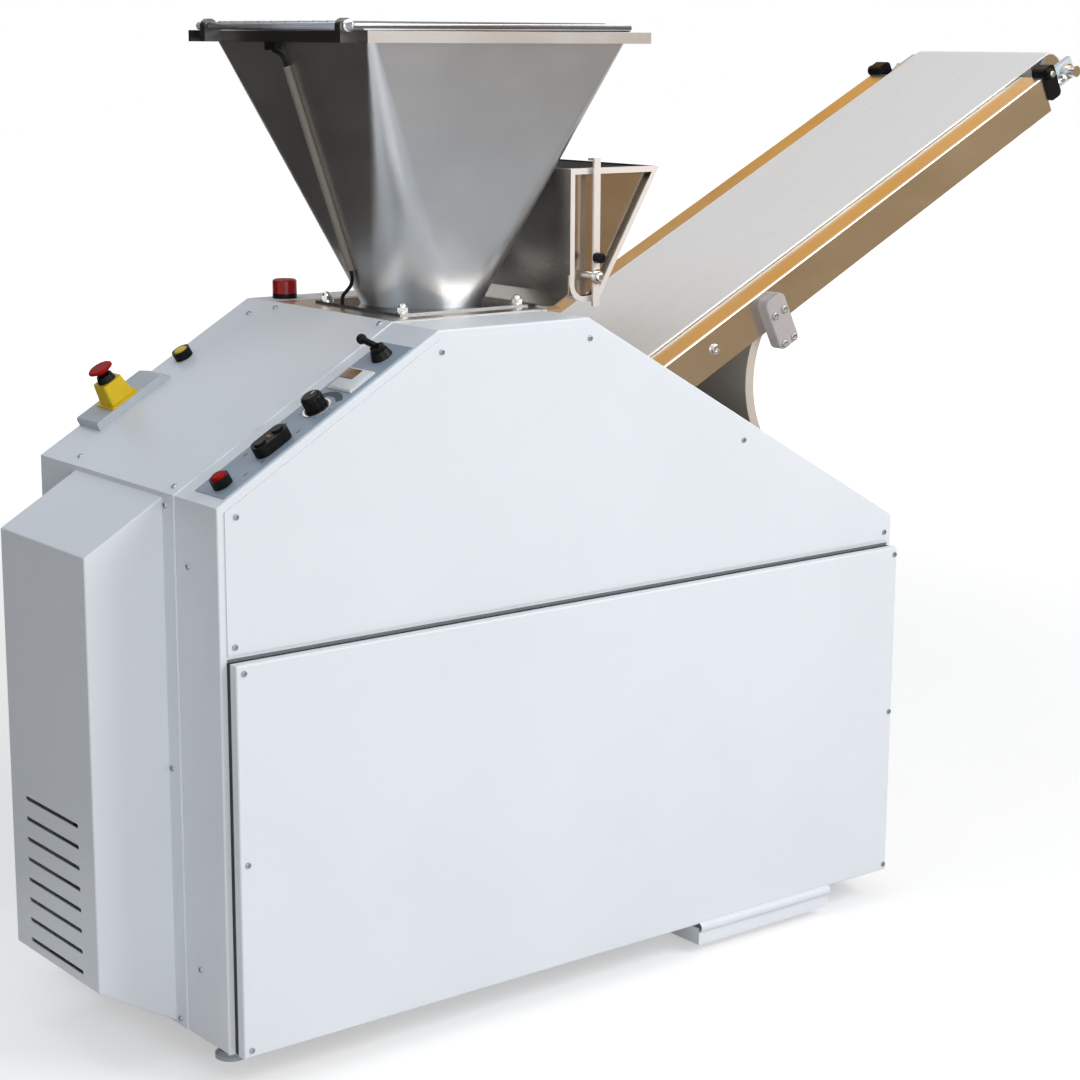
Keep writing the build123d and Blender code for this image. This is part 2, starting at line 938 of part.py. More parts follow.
def selector_base():
    """Conical base of the mode lever, bored for its stem."""
    low = control_plate_thickness
    cone = Cone(selector_foot_radius, selector_head_radius, selector_base_height)
    base = Pos(0, 0, low + selector_base_height / 2) * cone
    return base - standing(selector_stem_radius + shaft_clearance, low, selector_base_height)


def knob_ring():
    """Ring under the speed knob, bored for its stem."""
    low = control_plate_thickness
    ring = standing(knob_ring_radius, low, knob_ring_height)
    return ring - standing(knob_stem_radius + shaft_clearance, low, knob_ring_height)


def lamp_base():
    """Black base of the signal lamp."""
    foot = rise(deck_rise)
    return rod_z(along(lamp_at), far_y - lamp_inset, lamp_radius, foot, foot + lamp_base_height)


def control_collars():
    """Black collars and bases of the controls and of the signal lamp."""
    row = control_depth()
    stop_collar = button_collar(control_plate_thickness, stop_button_proud)
    return [
        on_slope(stop_button_at, row - stop_button_shift, stop_collar),
        on_slope(twin_at, row - twin_shift, twin_bezel()),
        on_slope(knob_at, row, knob_ring()),
        on_slope(selector_at, row, selector_base()),
        on_slope(cycle_button_at, body_width - cycle_button_line, button_collar(0, cycle_button_proud)),
        stop_neck(),
        lamp_base(),
    ]


def stop_button():
    """Red button of the control row."""
    cap = push_button(control_plate_thickness, stop_button_proud)
    return on_slope(stop_button_at, control_depth() - stop_button_shift, cap)


def cycle_button():
    """Yellow button of the far strip."""
    return on_slope(cycle_button_at, body_width - cycle_button_line, push_button(0, cycle_button_proud))


def twin_button(place):
    """One of the two buttons in the twin bezel."""
    foot = control_plate_thickness + twin_height - twin_button_height + twin_travel + button_clearance
    cap = Pos(place, 0, 0) * standing(twin_button_radius, foot, twin_button_height)
    return on_slope(twin_at, control_depth() - twin_shift, cap)


def speed_knob():
    """Fluted setting knob with its stem."""
    low = control_plate_thickness + knob_ring_height + button_clearance
    knob = standing(knob_radius, low, knob_height)
    knob = fillet(knob.edges().sort_by(Axis.Z)[-1], knob_round)
    groove = Pos(knob_radius + knob_groove_radius / 2, 0, 0) * standing(knob_groove_radius, low, knob_height)
    for step in range(knob_groove_count):
        knob -= Rot(0, 0, 360 * step / knob_groove_count) * groove
    knob += standing(knob_stem_radius, control_plate_thickness, knob_ring_height + button_clearance)
    return on_slope(knob_at, control_depth(), knob)


def mode_lever():
    """Selector with a rising arm, a ball grip and its stem."""
    low = control_plate_thickness + selector_base_height + button_clearance
    cap = standing(selector_radius, low, selector_height)
    root = Vector(0, 0, low + selector_height)
    tip = root + Vector(0, selector_arm, selector_climb)
    axis = tip - root
    arm = Plane(origin=(root + tip) * 0.5, z_dir=axis).location * Cylinder(selector_arm_radius, axis.length)
    ball = Pos(tip) * Sphere(selector_ball_radius)
    stem = standing(selector_stem_radius, control_plate_thickness, selector_base_height + button_clearance)
    return on_slope(selector_at, control_depth(), cap + arm + ball + stem)


def piece_counter():
    """White counter plate with a small window recess."""
    plate = Box(counter_length, counter_width, counter_height)
    plate = Pos(0, 0, control_plate_thickness + counter_height / 2) * plate
    recess = Box(counter_length / 2, counter_width / 2, counter_height / 2)
    shift = counter_recess_shift
    recess = Pos(shift, shift, control_plate_thickness + counter_height) * recess
    return on_slope(counter_at, control_depth(), plate - recess)


def stop_row():
    """Depth of the emergency stop from the near side."""
    return body_width - stop_line


def stop_box():
    """Flat grey switch box under the emergency stop, with a ramp at its upper end."""
    half = stop_box_length / 2
    figure = outline(
        [
            (-half, 0),
            (half, 0),
            (half, stop_box_bevel),
            (half - stop_box_ramp, stop_box_height),
            (-half + stop_box_bevel, stop_box_height),
            (-half, stop_box_height - stop_box_bevel),
        ]
    )
    box = prism(figure, -stop_box_width / 2, stop_box_width / 2)
    return on_slope(stop_box_start + half, body_width - stop_box_edge - stop_box_width / 2, box)


def stop_pedestal():
    """Yellow tapered pedestal on a square flange."""
    shoulder = stop_box_height + pedestal_flange_height
    flange = RectangleRounded(pedestal_flange, pedestal_flange, pedestal_corner)
    flange = Pos(0, 0, stop_box_height) * extrude(flange, amount=pedestal_flange_height)
    foot = Pos(0, 0, shoulder) * RectangleRounded(pedestal_base, pedestal_base, pedestal_corner)
    top = Pos(0, 0, stop_box_height + pedestal_height)
    head = top * RectangleRounded(pedestal_top, pedestal_top, pedestal_corner)
    return on_slope(stop_at, stop_row(), flange + loft([foot, head]))


def stop_neck():
    """Tapered black neck of the emergency stop, bored for the mushroom's stem."""
    low = stop_box_height + pedestal_height
    neck = Cone(stop_neck_foot_radius, stop_neck_radius, stop_neck_height)
    neck = Pos(0, 0, low + stop_neck_height / 2) * neck
    bore = standing(mushroom_stem_radius + shaft_clearance, low, stop_neck_height)
    return on_slope(stop_at, stop_row(), neck - bore)


def stop_mushroom():
    """Red mushroom head that flares out from its stem."""
    neck_top = stop_box_height + pedestal_height + stop_neck_height
    root = neck_top + mushroom_gap
    brim = root + mushroom_flare
    head = Pos(0, 0, root + mushroom_flare / 2) * Cone(mushroom_root_radius, mushroom_radius, mushroom_flare)
    cap = standing(mushroom_radius, brim, mushroom_rim)
    head += fillet(cap.edges().sort_by(Axis.Z)[-1], mushroom_round)
    stem_foot = neck_top - stop_neck_height + mushroom_travel + slide_clearance
    stem = standing(mushroom_stem_radius, stem_foot, root - stem_foot)
    return on_slope(stop_at, stop_row(), head + stem)


def signal_lens():
    """Red lens of the signal lamp."""
    foot = rise(deck_rise) + lamp_base_height
    lens = rod_z(along(lamp_at), far_y - lamp_inset, lamp_radius, foot, foot + lamp_height)
    return fillet(lens.edges().sort_by(Axis.Z)[-1], lamp_round)


roller_drop = roller_radius + roller_gap + belt_thickness
rail_foot = -rail_drop - rail_height


def conveyor_rail(side):
    """Folded side rail with a bore for the tail roller's shaft."""
    outer = side * rail_half_width
    inner = side * (belt_half_width + belt_side_gap)
    web = block(rail_start, rail_end, outer, outer - side * rail_sheet, rail_foot, -rail_drop)
    top = block(rail_start, rail_end, outer, inner, -rail_drop - rail_sheet, -rail_drop)
    low = block(rail_start, rail_end, outer, outer - side * rail_lip, rail_foot, rail_foot + rail_sheet)
    rail = web + top + low
    corner = rail.edges().filter_by(Axis.X).sort_by(lambda edge: side * edge.center().Y + edge.center().Z)[-1]
    rail = fillet(corner, fold_radius)
    bore_radius = roller_shaft_radius + shaft_clearance
    bore = rod_y(0, -roller_drop, bore_radius, outer + side * rail_sheet, outer - side * rail_lip)
    return on_belt(rail - bore)


def conveyor_bed():
    """Slider bed under the carrying run, hung on ties between the rails."""
    half = belt_half_width - belt_side_gap
    top = -belt_thickness
    tie_z = -roller_drop
    end = belt_span - bed_end_gap
    bed = block(bed_end_gap, end, -half, half, top - bed_sheet, top)
    for side in (-1, 1):
        skirt = side * (half - bed_sheet)
        bed += block(bed_end_gap, end, side * half, skirt, tie_z + tie_radius / 2, top)
    reach = rail_half_width - rail_sheet
    for place in tie_places:
        bed += rod_y(place, tie_z, tie_radius, -reach, reach)
        bed += block(place - tie_radius, place + tie_radius, -half, half, tie_z, top - bed_sheet)
    return on_belt(bed)


def conveyor_belt():
    """Endless belt round both rollers."""
    outer = SlotCenterToCenter(belt_span, 2 * roller_drop)
    inner = SlotCenterToCenter(belt_span, 2 * (roller_drop - belt_thickness))
    loop = Pos(belt_span / 2, -roller_drop) * (outer - inner)
    return on_belt(prism(loop, -belt_half_width, belt_half_width))


def tail_roller():
    """Driven tail roller with its shaft in the rails."""
    reach = rail_half_width + rail_sheet
    shaft = rod_y(0, -roller_drop, roller_shaft_radius, -reach, reach)
    half = belt_half_width - belt_side_gap
    return on_belt(shaft + rod_y(0, -roller_drop, roller_radius, -half, half))


def head_roller():
    """Head roller with its shaft ends and nuts outside the take-up plates."""
    plate_outer = takeup_plate_inner + takeup_plate_thickness
    reach = plate_outer + shaft_end_reach
    half = belt_half_width - belt_side_gap
    roller = rod_y(belt_span, -roller_drop, roller_shaft_radius, -reach, reach)
    roller += rod_y(belt_span, -roller_drop, roller_radius, -half, half)
    for side in (-1, 1):
        start = side * (plate_outer + slide_clearance)
        nut = rod_y(belt_span, -roller_drop, shaft_nut_radius, start, start + side * shaft_nut_height)
        roller += nut
    return on_belt(roller)


def takeup_block(side):
    """Black block on the end of a rail that holds the belt's take-up."""
    outer = side * takeup_outer
    top = takeup_proud - rail_drop
    end = rail_end + takeup_length
    body = block(rail_end, end, outer, outer - side * takeup_width, top - takeup_height, top)
    return on_belt(fillet(body.edges().filter_by(Axis.Y), takeup_corner))


def takeup_plate(side):
    """Plate that carries an end of the head roller."""
    inner = side * takeup_plate_inner
    outer = inner + side * takeup_plate_thickness
    half = takeup_plate_height / 2
    start = rail_end + takeup_length
    end = belt_span + takeup_plate_reach
    plate = block(start, end, inner, outer, -roller_drop - half, -roller_drop + half)
    plate -= rod_y(belt_span, -roller_drop, roller_shaft_radius + shaft_clearance, inner, outer)
    return on_belt(plate)


def rail_link(side):
    """Thick plastic link block on the outside of a rail."""
    figure = Pos(link_at, -link_drop) * RectangleRounded(link_width, link_height, link_corner)
    start = side * rail_half_width
    link = prism(figure, start, start + side * link_thickness)
    face = link.faces().sort_by(Axis.Y)[0 if side < 0 else -1]
    return on_belt(fillet(face.edges(), link_round))


def duster_figure(wall):
    """Side view of the duster's trough with its rounded nose, inset by a wall thickness."""
    corners = (
        (duster_back, duster_top_rise),
        (duster_back, duster_floor_rise),
        (duster_floor_end, duster_floor_rise),
        (duster_front, duster_top_rise),
    )
    figure = outline([(along(x), rise(z)) for x, z in corners])
    figure = fillet(figure.vertices().sort_by(Axis.Y)[:2], duster_nose_radius)
    return offset(figure, -wall, kind=Kind.INTERSECTION) if wall else figure


def duster_mouth():
    """Figure that opens the trough's top between its two walls."""
    top = rise(duster_top_rise)
    left = along(duster_back) + duster_sheet
    right = along(duster_front) - 2 * duster_sheet
    return window(left, right, top - duster_sheet, top)


def duster_trough():
    """Open flour trough with set-back end plates, in-turned rims and a slotted floor."""
    reach = duster_half_width + duster_fold
    trough = prism(duster_figure(0), line_y - reach, line_y + reach)
    trough -= prism(duster_figure(duster_sheet), line_y - reach, line_y + reach)
    trough -= prism(duster_mouth(), line_y - reach, line_y + reach)
    top = rise(duster_top_rise)
    for side in (-1, 1):
        inner = line_y + side * duster_half_width
        plate = prism(duster_figure(duster_sheet / 2), inner, inner - side * duster_sheet)
        plate -= rod_y(
            along(rotor_at),
            rise(rotor_rise),
            rotor_shaft_radius + shaft_clearance,
            inner + side * duster_sheet,
            inner - side * 2 * duster_sheet,
        )
        fold = block(
            along(duster_back),
            along(duster_front) - duster_sheet,
            inner - side * duster_sheet,
            line_y + side * reach,
            top - duster_sheet,
            top,
        )
        rim_figure = duster_figure(0) - duster_figure(duster_rim)
        end = line_y + side * reach
        trough += plate + fold + prism(rim_figure, end, end - side * duster_sheet)
    slot_x = along(duster_back + duster_nose_radius) + flour_slot_width / 2
    for row in range(flour_slot_count):
        y = line_y + (row - (flour_slot_count - 1) / 2) * flour_slot_pitch
        trough -= block(
            slot_x - flour_slot_width / 2,
            slot_x + flour_slot_width / 2,
            y - flour_slot_length / 2,
            y + flour_slot_length / 2,
            rise(duster_floor_rise) - duster_sheet,
            rise(duster_floor_rise) + 2 * duster_sheet,
        )
    return trough


def lever_plane():
    """Near face of the duster's end, where the lever swings in front of the fold."""
    return line_y - duster_half_width - duster_fold - lever_gap


def duster_rotor():
    """Finned flour shaft with the washer and cap nut that clamp the lever."""
    x = along(rotor_at)
    z = rise(rotor_rise)
    near = lever_plane() - lever_thickness
    far = line_y + duster_half_width + duster_fold
    rotor = rod_y(x, z, rotor_shaft_radius, near, far)
    half = duster_half_width - duster_sheet - rotor_end_gap
    for turn in (45, 135):
        fin = Box(2 * rotor_fin_radius, 2 * half, rotor_fin_sheet)
        rotor += Pos(x, line_y, z) * Rot(0, turn, 0) * fin
    nut_foot = near - lever_washer_height
    nut = rod_y(x, z, lever_nut_radius, nut_foot - lever_nut_height, nut_foot)
    nut = fillet(nut.edges().sort_by(Axis.Y)[0], lever_nut_round)
    return rotor + rod_y(x, z, lever_washer_radius, nut_foot, near) + nut


def duster_lever():
    """Flat bar that turns the flour shaft, with a bent finger tab on top."""
    x = along(rotor_at)
    z = rise(rotor_rise)
    back = lever_plane()
    front = back - lever_thickness
    half = lever_width / 2
    bar = block(x - half, x + half, front, back, z - lever_down, z + lever_up)
    top = z + lever_up
    bar += block(x - half, x + half, front, back + lever_tab, top - lever_thickness, top)
    return bar - rod_y(x, z, rotor_shaft_radius, front, back)


def lever_knob():
    """Black grip knob on the lever."""
    front = lever_plane() - lever_thickness
    z = rise(rotor_rise + lever_knob_up)
    knob = rod_y(along(rotor_at), z, lever_knob_radius, front, front - lever_knob_height)
    return fillet(knob.edges().sort_by(Axis.Y)[0], lever_knob_radius / 2)


def duster_bracket():
    """Bent sheet that carries the duster from the deck."""
    back = along(duster_back)
    deck = rise(deck_top_rise)
    climb = rise(duster_floor_rise + bracket_climb)
    head = rise(duster_floor_rise + bracket_head)
    figure = outline(
        [
            (along(bracket_start), deck),
            (along(bracket_bend), deck),
            (back, climb),
            (back, head),
            (back - bracket_sheet, head),
            (back - bracket_sheet, climb),
            (along(bracket_bend) - bracket_sheet, deck + bracket_sheet),
            (along(bracket_start), deck + bracket_sheet),
        ]
    )
    reach = duster_half_width + duster_fold
    low = max(line_y - reach, cover_near_y)
    high = min(line_y + reach, cover_far_y)
    return prism(figure, low, high)


ram_floor_rise = ram_axis_rise - ram_height / 2
ram_roof_rise = ram_floor_rise + ram_height + slide_clearance + knife_thickness
plate_inner = chamber_half_width + chamber_wall


def ram_lever_side():
    """Near and far face of the ram lever's bar."""
    far = line_y - ram_lever_offset + ram_lever_thickness / 2
    return far - ram_lever_thickness, far


def dough_chamber():
    """Cast chamber: floor with a lever slot, side walls and a roof with the dough inlet."""
    outer = plate_inner
    floor = rise(ram_floor_rise - slide_clearance)
    roof = rise(ram_roof_rise + slide_clearance)
    body = block(
        along(chamber_start), along(chamber_end), line_y - outer, line_y + outer, floor - chamber_floor, roof
    )
    end = along(chamber_end)
    body += block(along(roof_start), end, line_y - outer, line_y + outer, roof, rise(deck_rise))
    body -= block(
        along(chamber_start),
        along(chamber_end),
        line_y - chamber_half_width,
        line_y + chamber_half_width,
        floor,
        roof,
    )
    body -= block(
        along(inlet_start),
        along(inlet_end),
        line_y - inlet_half_width,
        line_y + inlet_half_width,
        roof,
        rise(deck_rise),
    )
    near, far = ram_lever_side()
    body -= block(
        along(chamber_start),
        along(ram_start + ram_length) - sheet,
        near - sheet,
        far + sheet,
        floor - chamber_floor,
        floor,
    )
    return body


def ram():
    """Dough ram with a rear lug and the pin that the lever drives."""
    half = chamber_half_width - slide_clearance
    start = along(ram_start)
    low = rise(ram_floor_rise)
    axis = rise(ram_axis_rise)
    body = block(start, start + ram_length, line_y - half, line_y + half, low, low + ram_height)
    near, far = ram_lever_side()
    pin_x = start - ram_pin_setback
    lug_near = far + sheet
    lug_far = lug_near + ram_lug_width
    lug = block(pin_x, start, lug_near, lug_far, axis - ram_pin_radius, axis + ram_pin_radius)
    pin = rod_y(pin_x, axis, ram_pin_radius, near - sheet, lug_far)
    return body + lug + pin


def knife():
    """Sliding knife on top of the ram that closes the dough inlet."""
    half = chamber_half_width - slide_clearance
    low = rise(ram_floor_rise + ram_height + slide_clearance)
    start = along(ram_start)
    blade = block(start, start + ram_length, line_y - half, line_y + half, low, low + knife_thickness)
    edge = blade.edges().filter_by(Axis.Y).sort_by(Axis.X)[-2:].sort_by(Axis.Z)[-1]
    return chamfer(edge, knife_thickness / 2, knife_thickness)


lever_pivot_at = ram_start - ram_pin_setback + ram_stroke / 2
lever_lean = math.degrees(math.atan2(ram_stroke / 2, lever_arm))


def lean(distance):
    """Place in the side view of a point up the leaning ram lever."""
    tilt = math.radians(lever_lean)
    x = along(lever_pivot_at) - distance * math.sin(tilt)
    return x, rise(lever_pivot_rise) + distance * math.cos(tilt)


def ram_lever():
    """Forked lever on a cross shaft, with the pin for the connecting rod."""
    near, far = ram_lever_side()
    half = ram_lever_width / 2
    tip = lever_arm + ram_lever_tip
    slot = ram_pin_radius + fork_clearance
    bar = block(-half, half, near, far, 0, tip)
    bar -= block(-slot, slot, near, far, lever_arm - ram_pin_radius - ram_lever_tip / 2, tip)
    lever = Pos(along(lever_pivot_at), 0, rise(lever_pivot_rise)) * Rot(0, -lever_lean, 0) * bar
    pivot = (along(lever_pivot_at), rise(lever_pivot_rise))
    reach = plate_inner + plate_thickness + sheet
    lever += rod_y(*pivot, ram_lever_boss_radius, near, far)
    lever += rod_y(*pivot, ram_lever_shaft_radius, line_y - reach, line_y + reach)
    return lever + rod_y(*lean(drive_pin_height), drive_pin_radius, near - conrod_thickness - 2 * sheet, far)


def crank_radius():
    """Throw of the crank that gives the lever its swing."""
    return drive_pin_height * ram_stroke / 2 / lever_arm


def conrod():
    """Connecting rod between the crank and the ram lever."""
    near, far = ram_lever_side()
    back = near - conrod_gap
    front = back - conrod_thickness
    x1, z1 = lean(drive_pin_height)
    x0 = along(crank_at) - crank_radius()
    z0 = rise(crank_rise)
    tilt = math.degrees(math.atan2(z1 - z0, x1 - x0))
    length = math.hypot(x1 - x0, z1 - z0)
    bar = block(0, length, front, back, -conrod_width / 2, conrod_width / 2)
    rod = Pos(x0, 0, z0) * Rot(0, -tilt, 0) * bar
    for x, z in ((x0, z0), (x1, z1)):
        rod += rod_y(x, z, conrod_eye_radius, front, back)
    for x, z in ((x0, z0), (x1, z1)):
        rod -= rod_y(x, z, drive_pin_radius + shaft_clearance, front, back)
    return rod


def crankshaft():
    """Gearbox output shaft with a crank disc and pin."""
    x = along(crank_at)
    z = rise(crank_rise)
    near, far = ram_lever_side()
    disc_near = near + conrod_thickness - conrod_gap
    disc_far = disc_near + crank_disc_thickness
    shaft_end = cover_mid_y + gearbox_width / 2 - sheet
    crank = rod_y(x, z, crank_disc_radius, disc_near, disc_far)
    crank += rod_y(x, z, crank_shaft_radius, disc_far, shaft_end)
    return crank + rod_y(x - crank_radius(), z, drive_pin_radius, near, disc_near)


def measuring_drum():
    """Drum with two measuring pockets that face the chamber."""
    x = along(drum_at)
    z = rise(drum_rise)
    half = plate_inner - drum_end_gap
    reach = plate_inner + plate_thickness + sheet
    drum = rod_y(x, z, drum_radius, line_y - half, line_y + half)
    drum += rod_y(x, z, drum_shaft_radius, line_y - reach, line_y + reach)
    for side in (-1, 1):
        y = line_y + side * pocket_spacing / 2
        drum -= rod_x(y, z, pocket_radius, x - drum_radius, x - drum_radius + pocket_depth)
    return drum


def measuring_pistons():
    """Pistons that draw the dough into the pockets and push it out."""
    start = along(drum_at) - drum_radius + piston_setback
    radius = pocket_radius - piston_clearance
    return [
        rod_x(line_y + side * pocket_spacing / 2, rise(drum_rise), radius, start, start + piston_length)
        for side in (-1, 1)
    ]


def inner_plate(side):
    """Upright plate bored for the drum and for the ram lever's shaft."""
    corners = (
        (plate_start, plate_foot_rise),
        (plate_foot_end, plate_foot_rise),
        (plate_foot_end, drum_rise - plate_throat_drop),
        (drum_at + plate_nose_reach, drum_rise - plate_nose_low),
        (drum_at + plate_nose_reach, drum_rise + plate_nose_high),
        (drum_at + plate_shoulder_reach, drum_rise + plate_shoulder_high),
        (chamber_end, deck_rise - plate_top_drop),
        (plate_start, deck_rise - plate_top_drop),
    )
    start = line_y + side * plate_inner
    end = start + side * plate_thickness
    plate = prism(outline([(along(x), rise(z)) for x, z in corners]), start, end)
    plate -= rod_y(along(drum_at), rise(drum_rise), drum_shaft_radius + shaft_clearance, start, end)
    pivot = (along(lever_pivot_at), rise(lever_pivot_rise))
    return plate - rod_y(*pivot, ram_lever_shaft_radius + shaft_clearance, start, end)


def gearbox():
    """Worm gearbox housing with its input and output bores."""
    half = gearbox_width / 2
    start = along(gearbox_start)
    end = start + gearbox_length
    foot = rise(gearbox_foot_rise)
    body = block(start, end, cover_mid_y - half, cover_mid_y + half, foot, rise(gearbox_head_rise))
    body = fillet(body.edges().filter_by(Axis.Y).sort_by(Axis.Z)[-2:], gearbox_round)
    reach = half + gearbox_flange
    body += block(start, end, cover_mid_y - reach, cover_mid_y + reach, foot, foot + shelf_sheet)
    input_bore = input_shaft_radius + shaft_clearance
    body -= rod_x(cover_mid_y, rise(input_rise), input_bore, start, start + shaft_insert)
    output_bore = crank_shaft_radius + shaft_clearance
    near = cover_mid_y - half
    return body - rod_y(along(crank_at), rise(crank_rise), output_bore, near, near + gearbox_width)


def drive_motor():
    """Foot motor with cooling fins and a bore for its shaft."""
    start = along(motor_start)
    end = start + motor_length
    axis = rise(motor_rise)
    core_radius = motor_radius - motor_fin_height
    body = rod_x(cover_mid_y, axis, core_radius, start, end)
    fin_start = start + motor_fin_start
    for step in range(motor_fin_count):
        fin = Box(motor_fin_length, motor_fin_sheet, 2 * motor_radius)
        place = Pos(fin_start + motor_fin_length / 2, cover_mid_y, axis)
        body += place * Rot(180 * step / motor_fin_count, 0, 0) * fin
    body += rod_x(cover_mid_y, axis, motor_radius, end - motor_bell_length, end)
    half = motor_foot_width / 2
    foot = rise(frame_rise + tube_height + motor_plate_sheet)
    foot_end = fin_start + motor_foot_length
    body += block(fin_start, foot_end, cover_mid_y - half, cover_mid_y + half, foot, foot + shelf_sheet)
    body += block(fin_start, foot_end, cover_mid_y - half / 2, cover_mid_y + half / 2, foot, axis)
    return body - rod_x(cover_mid_y, axis, motor_shaft_radius + shaft_clearance, start, start + shaft_insert)


def pulley(radius, axis_rise, shaft_radius, shaft_start):
    """Two-groove belt pulley fixed on its shaft."""
    near = end_x - pulley_gap
    far = near - pulley_width
    axis = rise(axis_rise)
    wheel = rod_x(cover_mid_y, axis, radius, far, near)
    for place in groove_places():
        ring = rod_x(cover_mid_y, axis, radius, place - belt_groove_width / 2, place + belt_groove_width / 2)
        core = rod_x(cover_mid_y, axis, radius - belt_groove_depth, far, near)
        wheel -= ring - core
    return wheel + rod_x(cover_mid_y, axis, shaft_radius, far - sheet, shaft_start + shaft_insert - sheet)


def groove_places():
    """Places along the machine of the two belt grooves."""
    middle = end_x - pulley_gap - pulley_width / 2
    return [middle + side * belt_groove_pitch / 2 for side in (-1, 1)]


def driven_pulley():
    """Large pulley on the gearbox's input shaft."""
    return pulley(driven_radius, input_rise, input_shaft_radius, along(gearbox_start))


def motor_pulley():
    """Small pulley on the motor's shaft."""
    return pulley(motor_pulley_radius, motor_rise, motor_shaft_radius, along(motor_start))


def drive_belts():
    """Two endless belts in the pulleys' grooves."""
    span = input_rise - motor_rise
    low = motor_pulley_radius - belt_groove_depth + vbelt_gap
    high = driven_radius - belt_groove_depth + vbelt_gap
    inner = belt_loop(low, high, span)
    outer = belt_loop(low + vbelt_height, high + vbelt_height, span)
    belts = []
    for place in groove_places():
        side_view = Plane(
            origin=(place - vbelt_width / 2, cover_mid_y, rise(motor_rise)), x_dir=(0, 1, 0), z_dir=(1, 0, 0)
        )
        belts.append(extrude(side_view * (outer - inner), amount=vbelt_width))
    return belts


def belt_loop(low_radius, high_radius, span):
    """Figure inside a belt that goes round two pulleys, one above the other."""
    low = Circle(low_radius)
    high = Pos(0, span) * Circle(high_radius)
    return make_hull(low.edges() + high.edges())


def base_frame():
    """Welded frame: base tubes, posts, shelf, motor plate, conveyor posts and tray runners."""
    low = rise(frame_rise)
    top = low + tube_height
    start = end_x + frame_end_gap
    end = discharge_x - frame_end_gap
    frame = block(start, end, near_y + sheet, near_y + sheet + tube_width, low, top)
    frame += block(start, end, far_y - sheet, far_y - sheet - tube_width, low, top)
    half = tube_width / 2
    for place in cross_places + post_places + runner_places:
        x = along(place)
        frame += block(x - half, x + half, near_y + tube_width, far_y - tube_width, low, top)
    frame += plate_posts(top)
    frame += drive_shelf(top)
    for side in (-1, 1):
        outer = line_y + side * rail_half_width
        x = along(conveyor_post_at)
        size = conveyor_post_size
        head = rise(tail_rise - conveyor_post_drop)
        frame += block(x - size / 2, x + size / 2, outer, outer + side * size, low, head)
        frame += tray_runner(side, low)
    return frame


def plate_posts(foot):
    """Posts under the inner plates."""
    posts = Part()
    mid = plate_inner + plate_thickness / 2
    half = post_size / 2
    for place in post_places:
        for side in (-1, 1):
            x = along(place)
            y = line_y + side * mid
            posts += block(x - half, x + half, y - half, y + half, foot, rise(plate_foot_rise))
    return posts


def drive_shelf(foot):
    """Shelf under the gearbox on two posts, and the plate under the motor."""
    half = post_size / 2
    reach = shelf_half_width
    shelf_end = along(post_places[0]) - half
    top = rise(gearbox_foot_rise)
    shelf = block(along(shelf_start), shelf_end, line_y - reach, line_y + reach, top - shelf_sheet, top)
    for side in (-1, 1):
        x = along(cross_places[0])
        y = line_y + side * (reach - half)
        shelf += block(x - half, x + half, y - half, y + half, foot, top - shelf_sheet)
    plate_half = motor_foot_width / 2
    shelf += block(
        along(shelf_start),
        along(motor_plate_end),
        cover_mid_y - plate_half,
        cover_mid_y + plate_half,
        foot,
        foot + motor_plate_sheet,
    )
    return shelf


def tray_runner(side, head):
    """Angle runner below the frame, under one lip of the tray."""
    middle = along(tray_start + tray_length / 2)
    lip_edge = middle + side * (tray_length / 2 + tray_side_lip + runner_side_gap)
    lip_under = rise(tray_low_rise + tray_height - tray_sheet) - tray_gap
    near = near_y + sheet
    far = near + tray_depth
    leg = block(lip_edge, lip_edge + side * runner_sheet, near, far, lip_under - runner_sheet, head)
    foot_end = lip_edge - side * (runner_foot - tray_side_lip + runner_side_gap)
    foot = block(foot_end, lip_edge, near, far, lip_under - runner_sheet, lip_under)
    return leg + foot


def scrap_tray():
    """Shallow tray with side lips on the runners and a rolled front lip as its grip."""
    left = along(tray_start)
    right = left + tray_length
    low = rise(tray_low_rise)
    top = low + tray_height
    near = near_y - panel_gap - panel_depth - tray_reach
    far = near_y + tray_depth
    inner = near + tray_sheet
    tray = block(left, right, near, far, low, top)
    tray -= block(left + tray_sheet, right - tray_sheet, inner, far - tray_sheet, low + tray_sheet, top)
    for edge, side in ((left, -1), (right, 1)):
        tray += block(edge, edge + side * tray_side_lip, near_y + tube_width, far, top - tray_sheet, top)
    lip_z = rise(tray_lip_rise)
    wall_top = lip_z - tray_lip_radius
    tray -= block(left, right, near, inner, wall_top + tray_sheet, top)
    roll = rod_x(inner, lip_z, tray_lip_radius, left, right)
    roll -= rod_x(inner, lip_z, tray_lip_radius - tray_sheet, left, right)
    lip_zone = block(left, right, inner - tray_lip_radius, inner, wall_top, lip_z + tray_lip_radius)
    return tray + (roll & lip_zone)


def levelling_feet():
    """Four levelling feet with round pads."""
    feet = []
    for place in (cross_places[0], runner_places[-1]):
        for side in (-1, 1):
            x = along(place)
            y = side * (body_width / 2 - foot_inset_y)
            pad = rod_z(x, y, foot_pad_radius, 0, foot_pad_height)
            pad = chamfer(pad.edges().sort_by(Axis.Z)[-1], foot_pad_height / 2)
            feet.append(pad + rod_z(x, y, foot_stem_radius, foot_pad_height, rise(frame_rise)))
    return feet


def electric_box():
    """Closed cabinet for the switchgear, on the far frame tube."""
    far = far_y - sheet - cabinet_wall_gap
    foot = rise(frame_rise + tube_height)
    box = block(
        along(cabinet_start),
        along(cabinet_start + cabinet_length),
        far - cabinet_width,
        far,
        foot,
        foot + cabinet_height,
    )
    return fillet(box.edges().filter_by(Axis.Z), cabinet_wall_gap)


